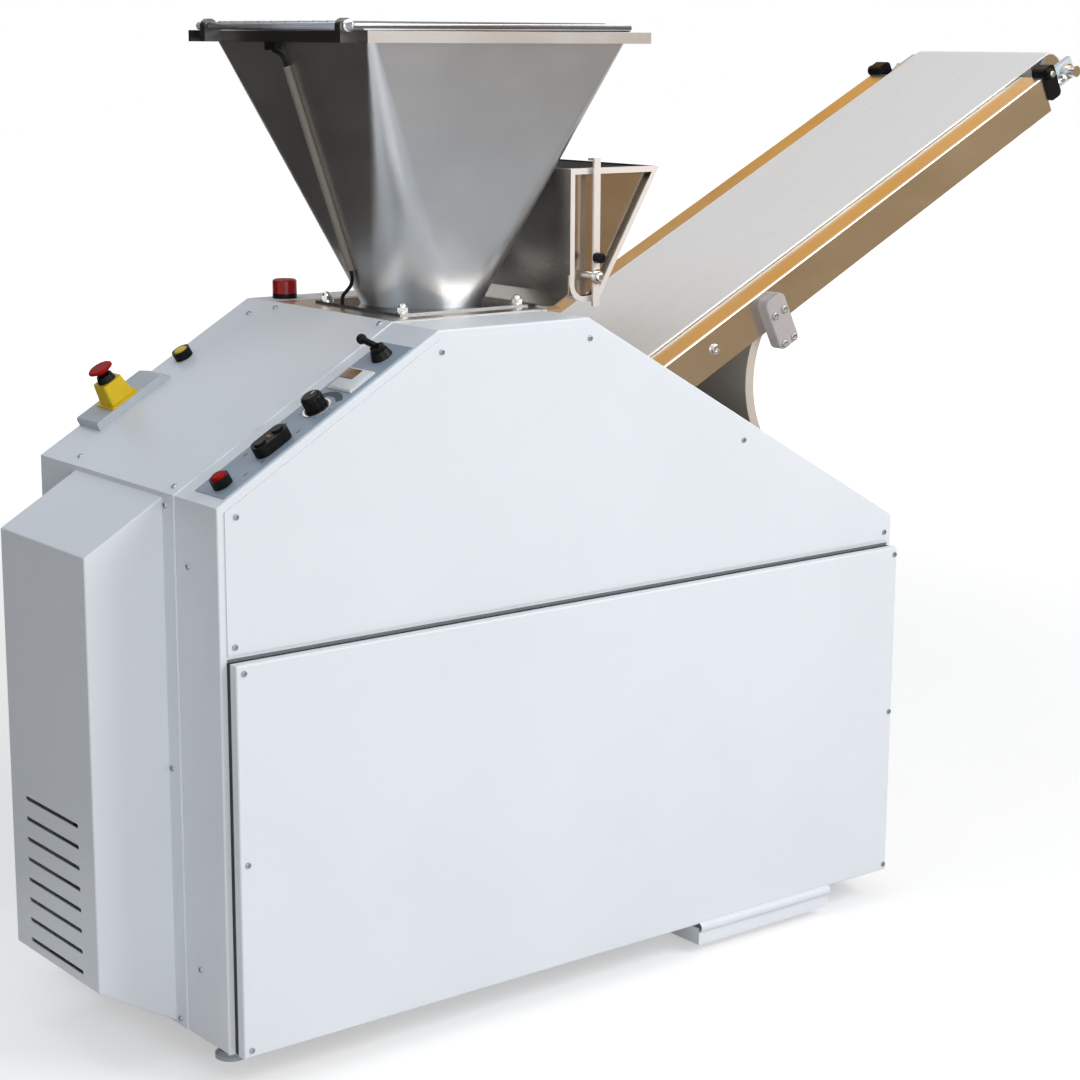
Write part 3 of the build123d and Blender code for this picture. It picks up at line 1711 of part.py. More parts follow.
def cable_gland():
    """Cable gland low on the discharge cover."""
    y = far_y - gland_inset
    z = rise(gland_rise)
    start = discharge_x + sheet
    nut = Pos(start, y, z) * Rot(0, 90, 0) * extrude(RegularPolygon(gland_radius, 6), amount=gland_nut_height)
    dome_start = start + gland_nut_height
    dome = rod_x(y, z, gland_dome_radius, dome_start, dome_start + gland_dome_height)
    dome = fillet(dome.edges().sort_by(Axis.X)[-1], gland_dome_round)
    end = dome_start + gland_dome_height
    return nut + dome - rod_x(y, z, gland_bore_radius, start, end)


near_far = (-1, 1)
nodes = {
    "base_frame": base_frame(),
    "levelling_feet": levelling_feet(),
    "near_casing": casing(-1, near_cover_edge),
    "far_casing": casing(1, far_cover_edge),
    "side_plates": [side_plate(side) for side in near_far],
    "lower_panels": [lower_panel(side) for side in near_far],
    "panel_seals": [panel_seal(side) for side in near_far],
    "slope_cover": slope_cover(),
    "belt_guard": belt_guard(),
    "top_deck": top_deck(),
    "discharge_cover": discharge_cover(),
    "discharge_guard": discharge_guard(),
    "hopper_base": hopper_base(),
    "hopper_shell": hopper_shell(),
    "hold_down_knobs": hold_down_nuts(),
    "safety_grid": safety_grid(),
    "grid_switch": grid_switch(),
    "control_plate": control_plate(),
    "control_collars": control_collars(),
    "piece_counter": piece_counter(),
    "stop_button": stop_button(),
    "start_button": twin_button(twin_wells()[0]),
    "halt_button": twin_button(twin_wells()[1]),
    "speed_knob": speed_knob(),
    "mode_lever": mode_lever(),
    "cycle_button": cycle_button(),
    "stop_box": stop_box(),
    "stop_pedestal": stop_pedestal(),
    "stop_mushroom": stop_mushroom(),
    "signal_lens": signal_lens(),
    "conveyor_rails": [conveyor_rail(side) for side in near_far],
    "conveyor_bed": conveyor_bed(),
    "conveyor_belt": conveyor_belt(),
    "tail_roller": tail_roller(),
    "head_roller": head_roller(),
    "takeup_blocks": [takeup_block(side) for side in near_far],
    "takeup_plates": [takeup_plate(side) for side in near_far],
    "rail_links": [rail_link(side) for side in near_far],
    "duster_trough": duster_trough(),
    "duster_rotor": duster_rotor(),
    "duster_lever": duster_lever(),
    "lever_knob": lever_knob(),
    "duster_bracket": duster_bracket(),
    "dough_chamber": dough_chamber(),
    "ram": ram(),
    "knife": knife(),
    "ram_lever": ram_lever(),
    "conrod": conrod(),
    "crankshaft": crankshaft(),
    "measuring_drum": measuring_drum(),
    "measuring_pistons": measuring_pistons(),
    "inner_plates": [inner_plate(side) for side in near_far],
    "gearbox": gearbox(),
    "drive_motor": drive_motor(),
    "driven_pulley": driven_pulley(),
    "motor_pulley": motor_pulley(),
    "drive_belts": drive_belts(),
    "scrap_tray": scrap_tray(),
    "electric_box": electric_box(),
    "cable_gland": cable_gland(),
}

os.makedirs("parts", exist_ok=True)
for name, shape in nodes.items():
    solids = shape if isinstance(shape, list) else [shape]
    group = Compound(children=[solid for item in solids for solid in item.solids()])
    export_step(group, f"parts/{name}.step")
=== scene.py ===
"""Looks of a floor-standing vacuum dough divider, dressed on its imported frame.

The frame's own axes are metres: +X to the discharge belt, +Y to the far side, +Z up.
The sub-assemblies hold their sizes in millimetres: along from the vent end, depth from the near face and
rise from the panels' lower edge.
"""
import logging
import math
from dataclasses import dataclass
from enum import Enum
from typing import Any, Callable, Iterable, Optional, Sequence, Union

import bmesh
import bpy
from mathutils import Matrix, Vector


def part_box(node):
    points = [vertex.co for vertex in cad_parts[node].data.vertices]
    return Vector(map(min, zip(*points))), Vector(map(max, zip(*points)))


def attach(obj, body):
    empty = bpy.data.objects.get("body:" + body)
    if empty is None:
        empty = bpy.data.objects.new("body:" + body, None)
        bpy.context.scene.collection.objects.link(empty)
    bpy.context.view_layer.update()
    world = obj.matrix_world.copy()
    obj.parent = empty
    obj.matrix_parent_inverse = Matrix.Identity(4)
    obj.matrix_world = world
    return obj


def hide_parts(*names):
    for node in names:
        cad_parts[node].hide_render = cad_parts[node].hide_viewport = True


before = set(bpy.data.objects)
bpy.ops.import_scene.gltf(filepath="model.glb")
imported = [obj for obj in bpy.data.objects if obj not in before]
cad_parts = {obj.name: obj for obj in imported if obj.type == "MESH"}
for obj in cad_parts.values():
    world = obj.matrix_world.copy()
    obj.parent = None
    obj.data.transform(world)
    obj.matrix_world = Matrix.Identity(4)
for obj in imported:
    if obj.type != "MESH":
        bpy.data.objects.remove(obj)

LOG = logging.getLogger("dough_divider")
Colour = tuple[float, float, float]
Point = tuple[float, float, float]
Pair = tuple[float, float]
Pairs = tuple[Pair, ...]
Face = bmesh.types.BMFace
Verts = list[bmesh.types.BMVert]
Edges = list[bmesh.types.BMEdge]
Table = Optional[dict[Any, Any]]

MM = 0.001
WELD = 0.001 * MM
FILM_LIFT = 0.2
SHARP_DEGREES = 35.0
STEP_DEGREES = 7.5
INCLINE_DEGREES = 26.91


class Sock:
    """A shader value that takes part in Python expressions."""

    def __init__(self, shade: "Shade", socket: bpy.types.NodeSocket) -> None:
        """Wrap one output socket of a node tree."""
        self.shade = shade
        self.socket = socket

    def _math(self, operation: str, first: Any, second: Any) -> "Sock":
        """Add one Math node for an operator."""
        return self.shade.node("ShaderNodeMath", {"operation": operation}, {0: first, 1: second})

    def __add__(self, other: Any) -> "Sock":
        """Sum."""
        return self._math("ADD", self, other)

    def __radd__(self, other: Any) -> "Sock":
        """Sum with a number on the left."""
        return self._math("ADD", other, self)

    def __sub__(self, other: Any) -> "Sock":
        """Difference."""
        return self._math("SUBTRACT", self, other)

    def __rsub__(self, other: Any) -> "Sock":
        """Difference from a number on the left."""
        return self._math("SUBTRACT", other, self)

    def __mul__(self, other: Any) -> "Sock":
        """Product."""
        return self._math("MULTIPLY", self, other)

    def __rmul__(self, other: Any) -> "Sock":
        """Product with a number on the left."""
        return self._math("MULTIPLY", other, self)

    def most(self, other: Any) -> "Sock":
        """Larger of two values."""
        return self._math("MAXIMUM", self, other)

    def ramp(self, low: float, high: float) -> "Sock":
        """Smooth step of the value, from 0 at the low bound to 1 at the high one."""
        inputs = {"Value": self, "From Min": low, "From Max": high}
        return self.shade.node("ShaderNodeMapRange", {"interpolation_type": "SMOOTHSTEP"}, inputs)


class Shade:
    """Node tree of a material or of the surroundings, written as expressions."""

    def __init__(self, owner: Union[bpy.types.Material, bpy.types.World]) -> None:
        """Start an empty tree."""
        self.owner = owner
        owner.use_nodes = True
        self.tree = owner.node_tree
        self.tree.nodes.clear()

    def node(self, kind: str, settings: Table = None, inputs: Table = None, output: Any = 0) -> Sock:
        """Add one node.

        Args:
            kind: Blender's node type.
            settings: Properties that are set first.
            inputs: Values or links by socket name or number.
            output: Socket to hand back.

        Returns:
            The wrapped output socket.
        """
        made = self.tree.nodes.new(kind)
        for key, value in (settings or {}).items():
            setattr(made, key, value)
        for key, value in (inputs or {}).items():
            if isinstance(value, Sock):
                self.tree.links.new(value.socket, made.inputs[key])
            else:
                made.inputs[key].default_value = value
        return Sock(self, made.outputs[output])

    def place(self, scale: Sequence[float] = (1, 1, 1), turn: Sequence[float] = (0, 0, 0)) -> Sock:
        """Object coordinates, turned and scaled.

        Args:
            scale: Scale along each axis after the turn.
            turn: Turn about each axis in degrees.

        Returns:
            The coordinate vector.
        """
        point = {"vector_type": "POINT"}
        angles = [math.radians(angle) for angle in turn]
        coordinates = self.node("ShaderNodeTexCoord", output="Object")
        turned = self.node("ShaderNodeMapping", point, {"Vector": coordinates, "Rotation": angles})
        return self.node("ShaderNodeMapping", point, {"Vector": turned, "Scale": scale})

    def noise(self, vector: Sock, scale: float, detail: float = 3.0, rough: float = 0.5) -> Sock:
        """Fractal noise between 0 and 1."""
        inputs = {"Vector": vector, "Scale": scale, "Detail": detail, "Roughness": rough}
        return self.node("ShaderNodeTexNoise", None, inputs, "Fac")

    def blend(self, factor: Any, first: Any, second: Any) -> Sock:
        """Mix two colours by a factor."""
        inputs = {0: factor, 6: self._rgba(first), 7: self._rgba(second)}
        return self.node("ShaderNodeMix", {"data_type": "RGBA"}, inputs, 2)

    @staticmethod
    def _rgba(colour: Any) -> Any:
        """Give a plain colour its alpha."""
        return colour if isinstance(colour, Sock) else (*colour, 1.0)

    def wave(self, vector: Sock, axis: str, scale: float) -> Sock:
        """Even bands across one axis, between 0 and 1."""
        inputs = {"Vector": vector, "Scale": scale}
        return self.node("ShaderNodeTexWave", {"bands_direction": axis}, inputs, "Fac")

    def bump(self, height: Sock, distance: float, strength: float = 1.0) -> Sock:
        """Surface relief from a height value."""
        inputs = {"Height": height, "Distance": distance, "Strength": strength}
        return self.node("ShaderNodeBump", None, inputs, "Normal")

    def seen(self) -> Sock:
        """1 for rays from the camera, from a reflection or through clear plastic, else 0."""
        rays = [f"Is {kind} Ray" for kind in ("Camera", "Glossy", "Transmission")]
        camera, glossy, clear = (self.node("ShaderNodeLightPath", output=ray) for ray in rays)
        return camera.most(glossy).most(clear)

    def surface(self, colour: Any, rough: Any, **sockets: Any) -> bpy.types.Material:
        """Close the tree with a Principled shader.

        Args:
            colour: Base colour or its socket.
            rough: Roughness or its socket.
            sockets: Other Principled sockets, with underscores for spaces.

        Returns:
            The finished material.
        """
        inputs = {"Base Color": self._rgba(colour), "Roughness": rough}
        inputs.update({key.replace("_", " "): value for key, value in sockets.items()})
        shader = self.node("ShaderNodeBsdfPrincipled", None, inputs, "BSDF")
        return self._close(shader, "ShaderNodeOutputMaterial")

    def surround(self, colour: Colour, strength: Any) -> bpy.types.World:
        """Close the tree with a background shader of a colour and a strength."""
        inputs = {"Color": self._rgba(colour), "Strength": strength}
        return self._close(self.node("ShaderNodeBackground", None, inputs), "ShaderNodeOutputWorld")

    def _close(self, shader: Sock, kind: str) -> Any:
        """Link the last shader to an output node and hand back the tree's owner."""
        self.tree.links.new(shader.socket, self.tree.nodes.new(kind).inputs["Surface"])
        return self.owner


@dataclass(frozen=True)
class Finish:
    """A finish that makes its material once. Its patterns' scales are per metre, their depths metres."""

    label: str
    colour: Colour

    def material(self) -> bpy.types.Material:
        """The finish's material, made on first use."""
        name = f"{type(self).__name__}_{self.label}"
        return bpy.data.materials.get(name) or self.build(Shade(bpy.data.materials.new(name)))

    def tone(self, factor: float, lift: float = 0.0) -> Colour:
        """The finish's colour, made darker or paler."""
        return tuple(part * factor + lift for part in self.colour)

    def build(self, shade: Shade) -> bpy.types.Material:
        """Write the material's nodes."""
        raise NotImplementedError


@dataclass(frozen=True)
class PowderCoat(Finish):
    """Baked powder paint with a fine orange peel and faint cloudiness."""

    rough: float = 0.38
    shine: float = 0.45
    shadow: float = 0.93
    cloud_scale: float = 3.0
    speck_scale: float = 1500.0
    peel_scale: float = 420.0
    peel_depth: float = 0.00004

    def build(self, shade: Shade) -> bpy.types.Material:
        """Write the paint's nodes."""
        where = shade.place()
        clouds = shade.noise(where, self.cloud_scale, 4.0)
        peel = shade.noise(where, self.peel_scale, 2.0)
        specks = shade.noise(where, self.speck_scale, 1.0)
        uneven = clouds.ramp(0.3, 0.75) * 0.5 + specks.ramp(0.62, 0.8) * 0.12
        colour = shade.blend(uneven, self.colour, self.tone(self.shadow))
        rough = self.rough + (clouds - 0.5) * 0.12 + (peel - 0.5) * 0.08
        relief = shade.bump(peel, self.peel_depth)
        return shade.surface(colour, rough, Normal=relief, Specular_IOR_Level=self.shine)


@dataclass(frozen=True)
class BrushedSteel(Finish):
    """Stainless sheet with a brushed grain along one direction."""

    rough: float = 0.3
    grain: Point = (6.0, 900.0, 900.0)
    turn: Point = (0.0, 0.0, 0.0)
    streak: float = 0.15
    metal: float = 1.0
    stained: float = 0.9
    cloud_scale: float = 7.0
    smears: Point = (4.0, 4.0, 14.0)
    grain_depth: float = 0.00002

    def build(self, shade: Shade) -> bpy.types.Material:
        """Write the steel's nodes."""
        streaks = shade.noise(shade.place(self.grain, self.turn), 1.0, 3.0, 0.65)
        clouds = shade.noise(shade.place(), self.cloud_scale, 5.0, 0.6)
        smears = shade.noise(shade.place(self.smears), 1.0, 4.0)
        lines = (streaks - 0.5) * self.streak
        dull = clouds.ramp(0.35, 0.75) * 0.7 + lines * 0.5
        colour = shade.blend(dull, self.colour, self.tone(self.stained))
        rough = self.rough + lines * 0.22 + (smears - 0.5) * 0.16
        relief = shade.bump(streaks, self.grain_depth, 0.6 * self.streak)
        return shade.surface(colour, rough, Metallic=self.metal, Normal=relief)


@dataclass(frozen=True)
class MouldedPlastic(Finish):
    """Moulded plastic with a fine grain and rubbed patches."""

    rough: float = 0.42
    shine: float = 0.2
    rub_scale: float = 45.0
    grain_scale: float = 1800.0
    grain_depth: float = 0.00003

    def build(self, shade: Shade) -> bpy.types.Material:
        """Write the plastic's nodes."""
        where = shade.place()
        grain = shade.noise(where, self.grain_scale, 2.0)
        rubbed = shade.noise(where, self.rub_scale, 3.0)
        colour = shade.blend(rubbed.ramp(0.45, 0.8) * 0.6, self.colour, self.tone(1.12, 0.001))
        rough = self.rough + (rubbed - 0.5) * 0.2 + (grain - 0.5) * 0.1
        relief = shade.bump(grain, self.grain_depth)
        return shade.surface(colour, rough, Normal=relief, Specular_IOR_Level=self.shine)


@dataclass(frozen=True)
class ClearLens(Finish):
    """Tinted clear plastic of lamps and windows."""

    glow: float = 0.0
    rough: float = 0.2
    shine: float = 0.3
    deep: float = 0.55
    haze_scale: float = 160.0

    def build(self, shade: Shade) -> bpy.types.Material:
        """Write the lens's nodes."""
        haze = shade.noise(shade.place(), self.haze_scale, 3.0)
        colour = shade.blend(haze.ramp(0.3, 0.8), self.colour, self.tone(self.deep))
        lit = {"Emission_Color": (*self.colour, 1.0), "Emission_Strength": self.glow}
        return shade.surface(colour, self.rough + haze * 0.1, Specular_IOR_Level=self.shine, **lit)


@dataclass(frozen=True)
class BeltWeb(Finish):
    """Pale food belt: fine woven face, dusted with flour and scuffed along its run."""

    incline: float
    rough: float = 0.62
    worn: float = 0.86
    scuffs: Point = (3.0, 60.0, 3.0)
    flour_scale: float = 90.0
    speck_scale: float = 420.0
    weave_scale: float = 260.0
    weave_depth: float = 0.00012

    def build(self, shade: Shade) -> bpy.types.Material:
        """Write the belt's nodes."""
        turn = (0.0, self.incline, 0.0)
        where = shade.place((1, 1, 1), turn)
        scuffs = shade.noise(shade.place(self.scuffs, turn), 1.0, 4.0, 0.6)
        flour = shade.noise(where, self.flour_scale, 5.0, 0.7)
        specks = shade.noise(where, self.speck_scale, 3.0, 0.6)
        weave = shade.wave(where, "X", self.weave_scale) * shade.wave(where, "Y", self.weave_scale)
        dusted = scuffs.ramp(0.4, 0.75) * 0.15 + flour.ramp(0.5, 0.72) * 0.3
        speckled = dusted + specks.ramp(0.5, 0.75) * 0.3
        colour = shade.blend(speckled, self.colour, self.tone(self.worn))
        relief = shade.bump(weave * 0.6 + specks * 0.4, self.weave_depth)
        return shade.surface(colour, self.rough + (flour - 0.5) * 0.2, Normal=relief)


@dataclass(frozen=True)
class SoftRubber(Finish):
    """Dull dark rubber; the seam strips take it as painted shade."""

    rough: float = 0.75
    dust_lift: float = 0.03
    dust_scale: float = 30.0
    pore_scale: float = 700.0
    pore_depth: float = 0.00008

    def build(self, shade: Shade) -> bpy.types.Material:
        """Write the rubber's nodes."""
        where = shade.place()
        pores = shade.noise(where, self.pore_scale, 2.0)
        dust = shade.noise(where, self.dust_scale, 4.0)
        colour = shade.blend(dust, self.colour, self.tone(1.0, self.dust_lift))
        rough = self.rough + (pores - 0.5) * 0.2
        return shade.surface(colour, rough, Normal=shade.bump(pores, self.pore_depth))


@dataclass(frozen=True)
class CastPaint(Finish):
    """Machine enamel over a cast surface."""

    rough: float = 0.45
    oiled: float = 0.7
    oil_scale: float = 9.0
    sand_scale: float = 300.0
    sand_depth: float = 0.0002

    def build(self, shade: Shade) -> bpy.types.Material:
        """Write the enamel's nodes."""
        where = shade.place()
        sand = shade.noise(where, self.sand_scale, 4.0, 0.6)
        oil = shade.noise(where, self.oil_scale, 4.0)
        colour = shade.blend(oil.ramp(0.4, 0.8), self.colour, self.tone(self.oiled))
        rough = self.rough + (oil - 0.5) * 0.3
        return shade.surface(colour, rough, Normal=shade.bump(sand, self.sand_depth))


WHITE_PAINT = PowderCoat("white", (0.79, 0.825, 0.87))
CONTROL_PAINT = PowderCoat("control", (0.30, 0.365, 0.45), 0.42)
FRAME_PAINT = PowderCoat("frame", (0.30, 0.32, 0.35), 0.5)
ZINC_PLATE = PowderCoat("zinc", (0.56, 0.62, 0.68), 0.3)
HOPPER_STEEL = BrushedSteel("hopper", (0.58, 0.585, 0.59), 0.33, (12.0, 12.0, 500.0))
SHEET_STEEL = BrushedSteel("sheet", (0.66, 0.64, 0.61), 0.26)
# Darkened steel: painted dark reflection on the hopper's base plate.
PLATE_STEEL = BrushedSteel("plate", (0.34, 0.355, 0.375), 0.16)
# Near-black steel: painted shade on the inside of the duster's trough.
INNER_SHADE_STEEL = BrushedSteel("inner_shade", (0.065, 0.063, 0.060), 0.42)
# Dark steel: painted shade, the dark reflection on the hopper rim's hinge side and lugs.
HINGE_SIDE_SHADE_STEEL = BrushedSteel("hinge", (0.16, 0.157, 0.153), 0.3)
# Pale, part-metal steel: on the duster's rims a painted highlight; the duster's lever takes it too.
PALE_STEEL = BrushedSteel("pale", (0.78, 0.73, 0.70), 0.5, metal=0.6)
# Darkened steel: painted dark reflection on the safety grid.
GRID_STEEL = BrushedSteel("grid", (0.30, 0.315, 0.345), 0.24)
# Warm, part-metal steel: painted warm reflection on the discharge guard.
GUARD_STEEL = BrushedSteel("guard", (0.66, 0.60, 0.53), 0.45, metal=0.4)
# Warm steel: painted warm reflection in the duster's recessed end plates.
WARM_REFLECTION_STEEL = BrushedSteel("satin", (0.54, 0.49, 0.43), 0.2)
RAIL_STEEL = BrushedSteel("rail", (0.68, 0.64, 0.58), 0.25, turn=(0, INCLINE_DEGREES, 0))
ROD_STEEL = BrushedSteel("rod", (0.70, 0.69, 0.68), 0.2, (200.0, 200.0, 200.0))
SCREW_STEEL = BrushedSteel("screw", (0.36, 0.385, 0.42), 0.42, (300.0, 300.0, 300.0))
MACHINED_STEEL = BrushedSteel("machined", (0.55, 0.55, 0.56), 0.32, (300.0, 20.0, 300.0), streak=0.8)
BLACK_PLASTIC = MouldedPlastic("black", (0.006, 0.006, 0.0065), 0.36, 0.12)
WHITE_PLASTIC = MouldedPlastic("white", (0.74, 0.76, 0.78), 0.5)
LINK_PLASTIC = MouldedPlastic("link", (0.44, 0.41, 0.40), 0.5)
GREY_PLASTIC = MouldedPlastic("grey", (0.50, 0.54, 0.58), 0.5)
CABINET_GREY = MouldedPlastic("cabinet", (0.35, 0.36, 0.37), 0.5)
RED_PLASTIC = MouldedPlastic("red", (0.34, 0.004, 0.003), 0.4, 0.05)
YELLOW_PLASTIC = MouldedPlastic("yellow", (0.72, 0.50, 0.015), 0.35)
CONDUIT_TAN = MouldedPlastic("conduit", (0.22, 0.195, 0.165), 0.4)
PRINT_WHITE = MouldedPlastic("print", (0.66, 0.70, 0.74), 0.55)
PRINT_DARK = MouldedPlastic("dark_print", (0.075, 0.085, 0.10), 0.55)
RED_LENS = ClearLens("red", (0.40, 0.008, 0.007))
AMBER_LENS = ClearLens("amber", (0.20, 0.095, 0.025), 0.05)
BELT_FACE = BeltWeb("belt", (0.89, 0.865, 0.845), INCLINE_DEGREES)
# Dark grey: painted shade in the seam between plates and panels.
SEAM_SHADE_GREY = SoftRubber("foam", (0.17, 0.18, 0.19))
BLACK_RUBBER = SoftRubber("black", (0.012, 0.012, 0.012))
CAST_GREY = CastPaint("grey", (0.18, 0.20, 0.22))
MOTOR_BLUE = CastPaint("motor", (0.10, 0.16, 0.26))


class Body(Enum):
    """Bodies of the frame that the scene's own pieces ride on."""

    MACHINE = "machine"
    GRID = "grid"
    STOP = "emergency_stop"
    SPEED = "speed"


class Slot(Enum):
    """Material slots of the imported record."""

    WHITE = "painted_white"
    STAINLESS = "stainless"
    STEEL = "steel"
    BLACK = "black_plastic"
    PALE = "white_plastic"
    RED = "red_plastic"
    LENS = "red_lens"


def mm(*lengths: float) -> list[float]:
    """Millimetres as metres."""
    return [length * MM for length in lengths]


def facing(point: Vector, normal: Sequence[float]) -> Matrix:
    """Matrix that stands a piece on a surface, with its +Z along the surface's normal."""
    return Matrix.Translation(point) @ Vector(normal).to_track_quat("Z", "Y").to_matrix().to_4x4()


def show(name: str, data: bpy.types.ID) -> bpy.types.Object:
    """Add an object with its mesh, lamp or camera to the scene."""
    made = bpy.data.objects.new(name, data)
    bpy.context.scene.collection.objects.link(made)
    return made


@dataclass
class Datum:
    """Reference corner and control slope of the machine, read from the frame."""

    deck_rise: float = 1032.0
    slope_rise: float = 811.0
    slope_run: float = 379.0

    def __post_init__(self) -> None:
        """Read the casing's near corner and the panels' lower edge."""
        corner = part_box("near_casing")[0]
        self.end_x = corner.x
        self.near_y = corner.y
        self.skirt_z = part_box("lower_panels")[0].z
        self.slope = math.atan2(self.deck_rise - self.slope_rise, self.slope_run)

    def at(self, along: float, depth: float, rise: float) -> Vector:
        """Point in the frame, in metres, for millimetres along, deep and high."""
        return Vector((self.end_x + along * MM, self.near_y + depth * MM, self.skirt_z + rise * MM))

    def on_slope(self, distance: float, depth: float, lift: float = 0.0) -> Matrix:
        """Place on the control slope, with +Z square to it and +X up the slope.

        Args:
            distance: Millimetres up the slope from its lower edge.
            depth: Millimetres from the near face.
            lift: Millimetres above the slope.

        Returns:
            The placing matrix.
        """
        foot = self.at(0.0, depth, self.slope_rise)
        turn = Matrix.Rotation(-self.slope, 4, "Y")
        return Matrix.Translation(foot) @ turn @ Matrix.Translation(mm(distance, 0.0, lift))


DATUM = Datum()


class Mould:
    """A mesh under construction. Sizes of its shapes are millimetres."""

    def __init__(self) -> None:
        """Start an empty mesh."""
        self.bm = bmesh.new()

    @classmethod
    def of_node(cls, node: str) -> "Mould":
        """Start from a copy of a CAD node, with doubles merged."""
        mould = cls()
        mould.bm.from_mesh(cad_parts[node].data)
        bmesh.ops.remove_doubles(mould.bm, verts=mould.bm.verts, dist=WELD)
        mould.move(mould.bm.verts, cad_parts[node].matrix_world)
        return mould

    def cone(self, low: float, high: float, height: float, sides: int = 24, bevel: float = 0.0) -> Verts:
        """Round bar or cone standing on the origin.

        Args:
            low: Radius at the foot.
            high: Radius at the head.
            height: Height.
            sides: Number of its sides.
            bevel: Rounding of the head's edge.

        Returns:
            The vertices made.
        """
        place = Matrix.Translation(mm(0, 0, height / 2))
        size = {"radius1": low * MM, "radius2": high * MM, "depth": height * MM}
        made = bmesh.ops.create_cone(self.bm, cap_ends=True, segments=sides, matrix=place, **size)["verts"]
        if not bevel:
            return made
        head = height * MM * 0.99
        rim = [edge for edge in self.edges_of(made) if all(vert.co.z > head for vert in edge.verts)]
        return self.round_off(made, rim, bevel)

    def box(self, size: Point, centre: Point = (0, 0, 0), bevel: float = 0.0) -> Verts:
        """Box with rounded edges.

        Args:
            size: Lengths along X, Y and Z.
            centre: Its middle.
            bevel: Rounding of its edges.

        Returns:
            The vertices made.
        """
        matrix = Matrix.Translation(mm(*centre)) @ Matrix.Diagonal((*mm(*size), 1.0))
        made = bmesh.ops.create_cube(self.bm, size=1.0, matrix=matrix)["verts"]
        return self.round_off(made, self.edges_of(made), bevel) if bevel else made

    def dome(self, radius: float, squash: float) -> Verts:
        """Flattened upper half of a ball, with its rim round the origin.

        Args:
            radius: Radius of its rim.
            squash: Height as a share of the radius.

        Returns:
            The vertices made.
        """
        matrix = Matrix.Diagonal((1, 1, squash, 1))
        made = bmesh.ops.create_uvsphere(
            self.bm, u_segments=24, v_segments=16, radius=radius * MM, matrix=matrix
        )["verts"]
        low = [vert for vert in made if vert.co.z < -WELD]
        kept = [vert for vert in made if vert.co.z >= -WELD]
        bmesh.ops.delete(self.bm, geom=low, context="VERTS")
        self.fill(kept)
        return kept

    def band(self, radii: Pair, height: float, start: float = 0.0, sweep: float = 360.0) -> Verts:
        """Flat ring round the origin, or a part of one.

        Args:
            radii: Inner and outer radius.
            height: Thickness.
            start: Angle where it starts, in degrees from +X.
            sweep: Angle that it covers, in degrees.

        Returns:
            The vertices made.
        """
        inner, outer, top = mm(*radii, height)
        before = set(self.bm.verts)
        corners = ((inner, 0.0), (outer, 0.0), (outer, top), (inner, top))
        turn = Matrix.Rotation(math.radians(start), 4, "Z")
        verts = [self.bm.verts.new(turn @ Vector((radius, 0.0, z))) for radius, z in corners]
        edges = [self.bm.edges.new(ends) for ends in zip(verts, verts[1:] + verts[:1])]
        steps = max(8, int(sweep / STEP_DEGREES))
        turning = {"cent": (0, 0, 0), "axis": (0, 0, 1), "angle": math.radians(sweep), "steps": steps}
        bmesh.ops.spin(self.bm, geom=verts + edges, use_merge=sweep >= 360.0, **turning)
        made = [vert for vert in self.bm.verts if vert not in before]
        self.fill(made)
        return made

    def fill(self, verts: Verts) -> None:
        """Close the open edges of a shape."""
        rim = [edge for edge in self.edges_of(verts) if edge.is_boundary]
        if rim:
            bmesh.ops.holes_fill(self.bm, edges=rim, sides=0)

    @staticmethod
    def edges_of(verts: Verts) -> Edges:
        """Edges of a set of vertices."""
        return list({edge for vert in verts for edge in vert.link_edges})

    def round_off(self, verts: Verts, edges: Edges, width: float, segments: int = 2) -> Verts:
        """Round edges.

        Args:
            verts: Vertices of the shape.
            edges: Edges to round.
            width: Width of the rounding.
            segments: Steps of the rounding.

        Returns:
            The shape's vertices after the rounding.
        """
        kept = set(verts)
        width = width * MM
        made = bmesh.ops.bevel(
            self.bm, geom=edges, offset=width, affect="EDGES", segments=segments, profile=0.5, material=-1
        )["verts"]
        return [vert for vert in kept if vert.is_valid] + [vert for vert in made if vert not in kept]

    def move(self, verts: Iterable[bmesh.types.BMVert], matrix: Matrix) -> None:
        """Place some vertices."""
        bmesh.ops.transform(self.bm, matrix=matrix, verts=list(verts))

    def add(self, mesh: bpy.types.Mesh, matrix: Matrix) -> None:
        """Add a placed copy of a mesh."""
        before = len(self.bm.verts)
        self.bm.from_mesh(mesh)
        self.bm.verts.ensure_lookup_table()
        self.move(self.bm.verts[before:], matrix)

    def mesh(self, name: str) -> bpy.types.Mesh:
        """Write the mesh, smooth between its sharp edges, and free the construction."""
        bmesh.ops.recalc_face_normals(self.bm, faces=self.bm.faces)
        mesh = bpy.data.meshes.new(name)
        self.bm.to_mesh(mesh)
        self.bm.free()
        mesh.shade_smooth()
        mesh.set_sharp_from_angle(angle=math.radians(SHARP_DEGREES))
        return mesh

    def piece(self, name: str, finish: Finish, slot: Slot, body: Body = Body.MACHINE) -> bpy.types.Object:
        """Write the mesh as a piece of the object.

        Args:
            name: Name of the piece.
            finish: Its finish.
            slot: Not used.
            body: Body that it rides on.

        Returns:
            The piece's object.
        """
        made = show(name, self.mesh(name))
        made.data.materials.append(finish.material())
        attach(made, body.value)
        LOG.info("piece %s: %d faces", name, len(made.data.polygons))
        return made


@dataclass(frozen=True)
class Fastener:
    """A small fastener that is set at a number of places."""

    radius: float
    height: float

    def template(self) -> Mould:
        """One fastener that stands on the origin."""
        raise NotImplementedError

    def scatter(self, name: str, finish: Finish, places: Iterable[Matrix]) -> None:
        """Set the fasteners.

        Args:
            name: Name of the piece.
            finish: Their finish.
            places: Matrix of each fastener.
        """
        mesh = self.template().mesh(f"{name}_template")
        mould = Mould()
        for place in places:
            mould.add(mesh, place)
        bpy.data.meshes.remove(mesh)
        mould.piece(name, finish, Slot.STEEL)


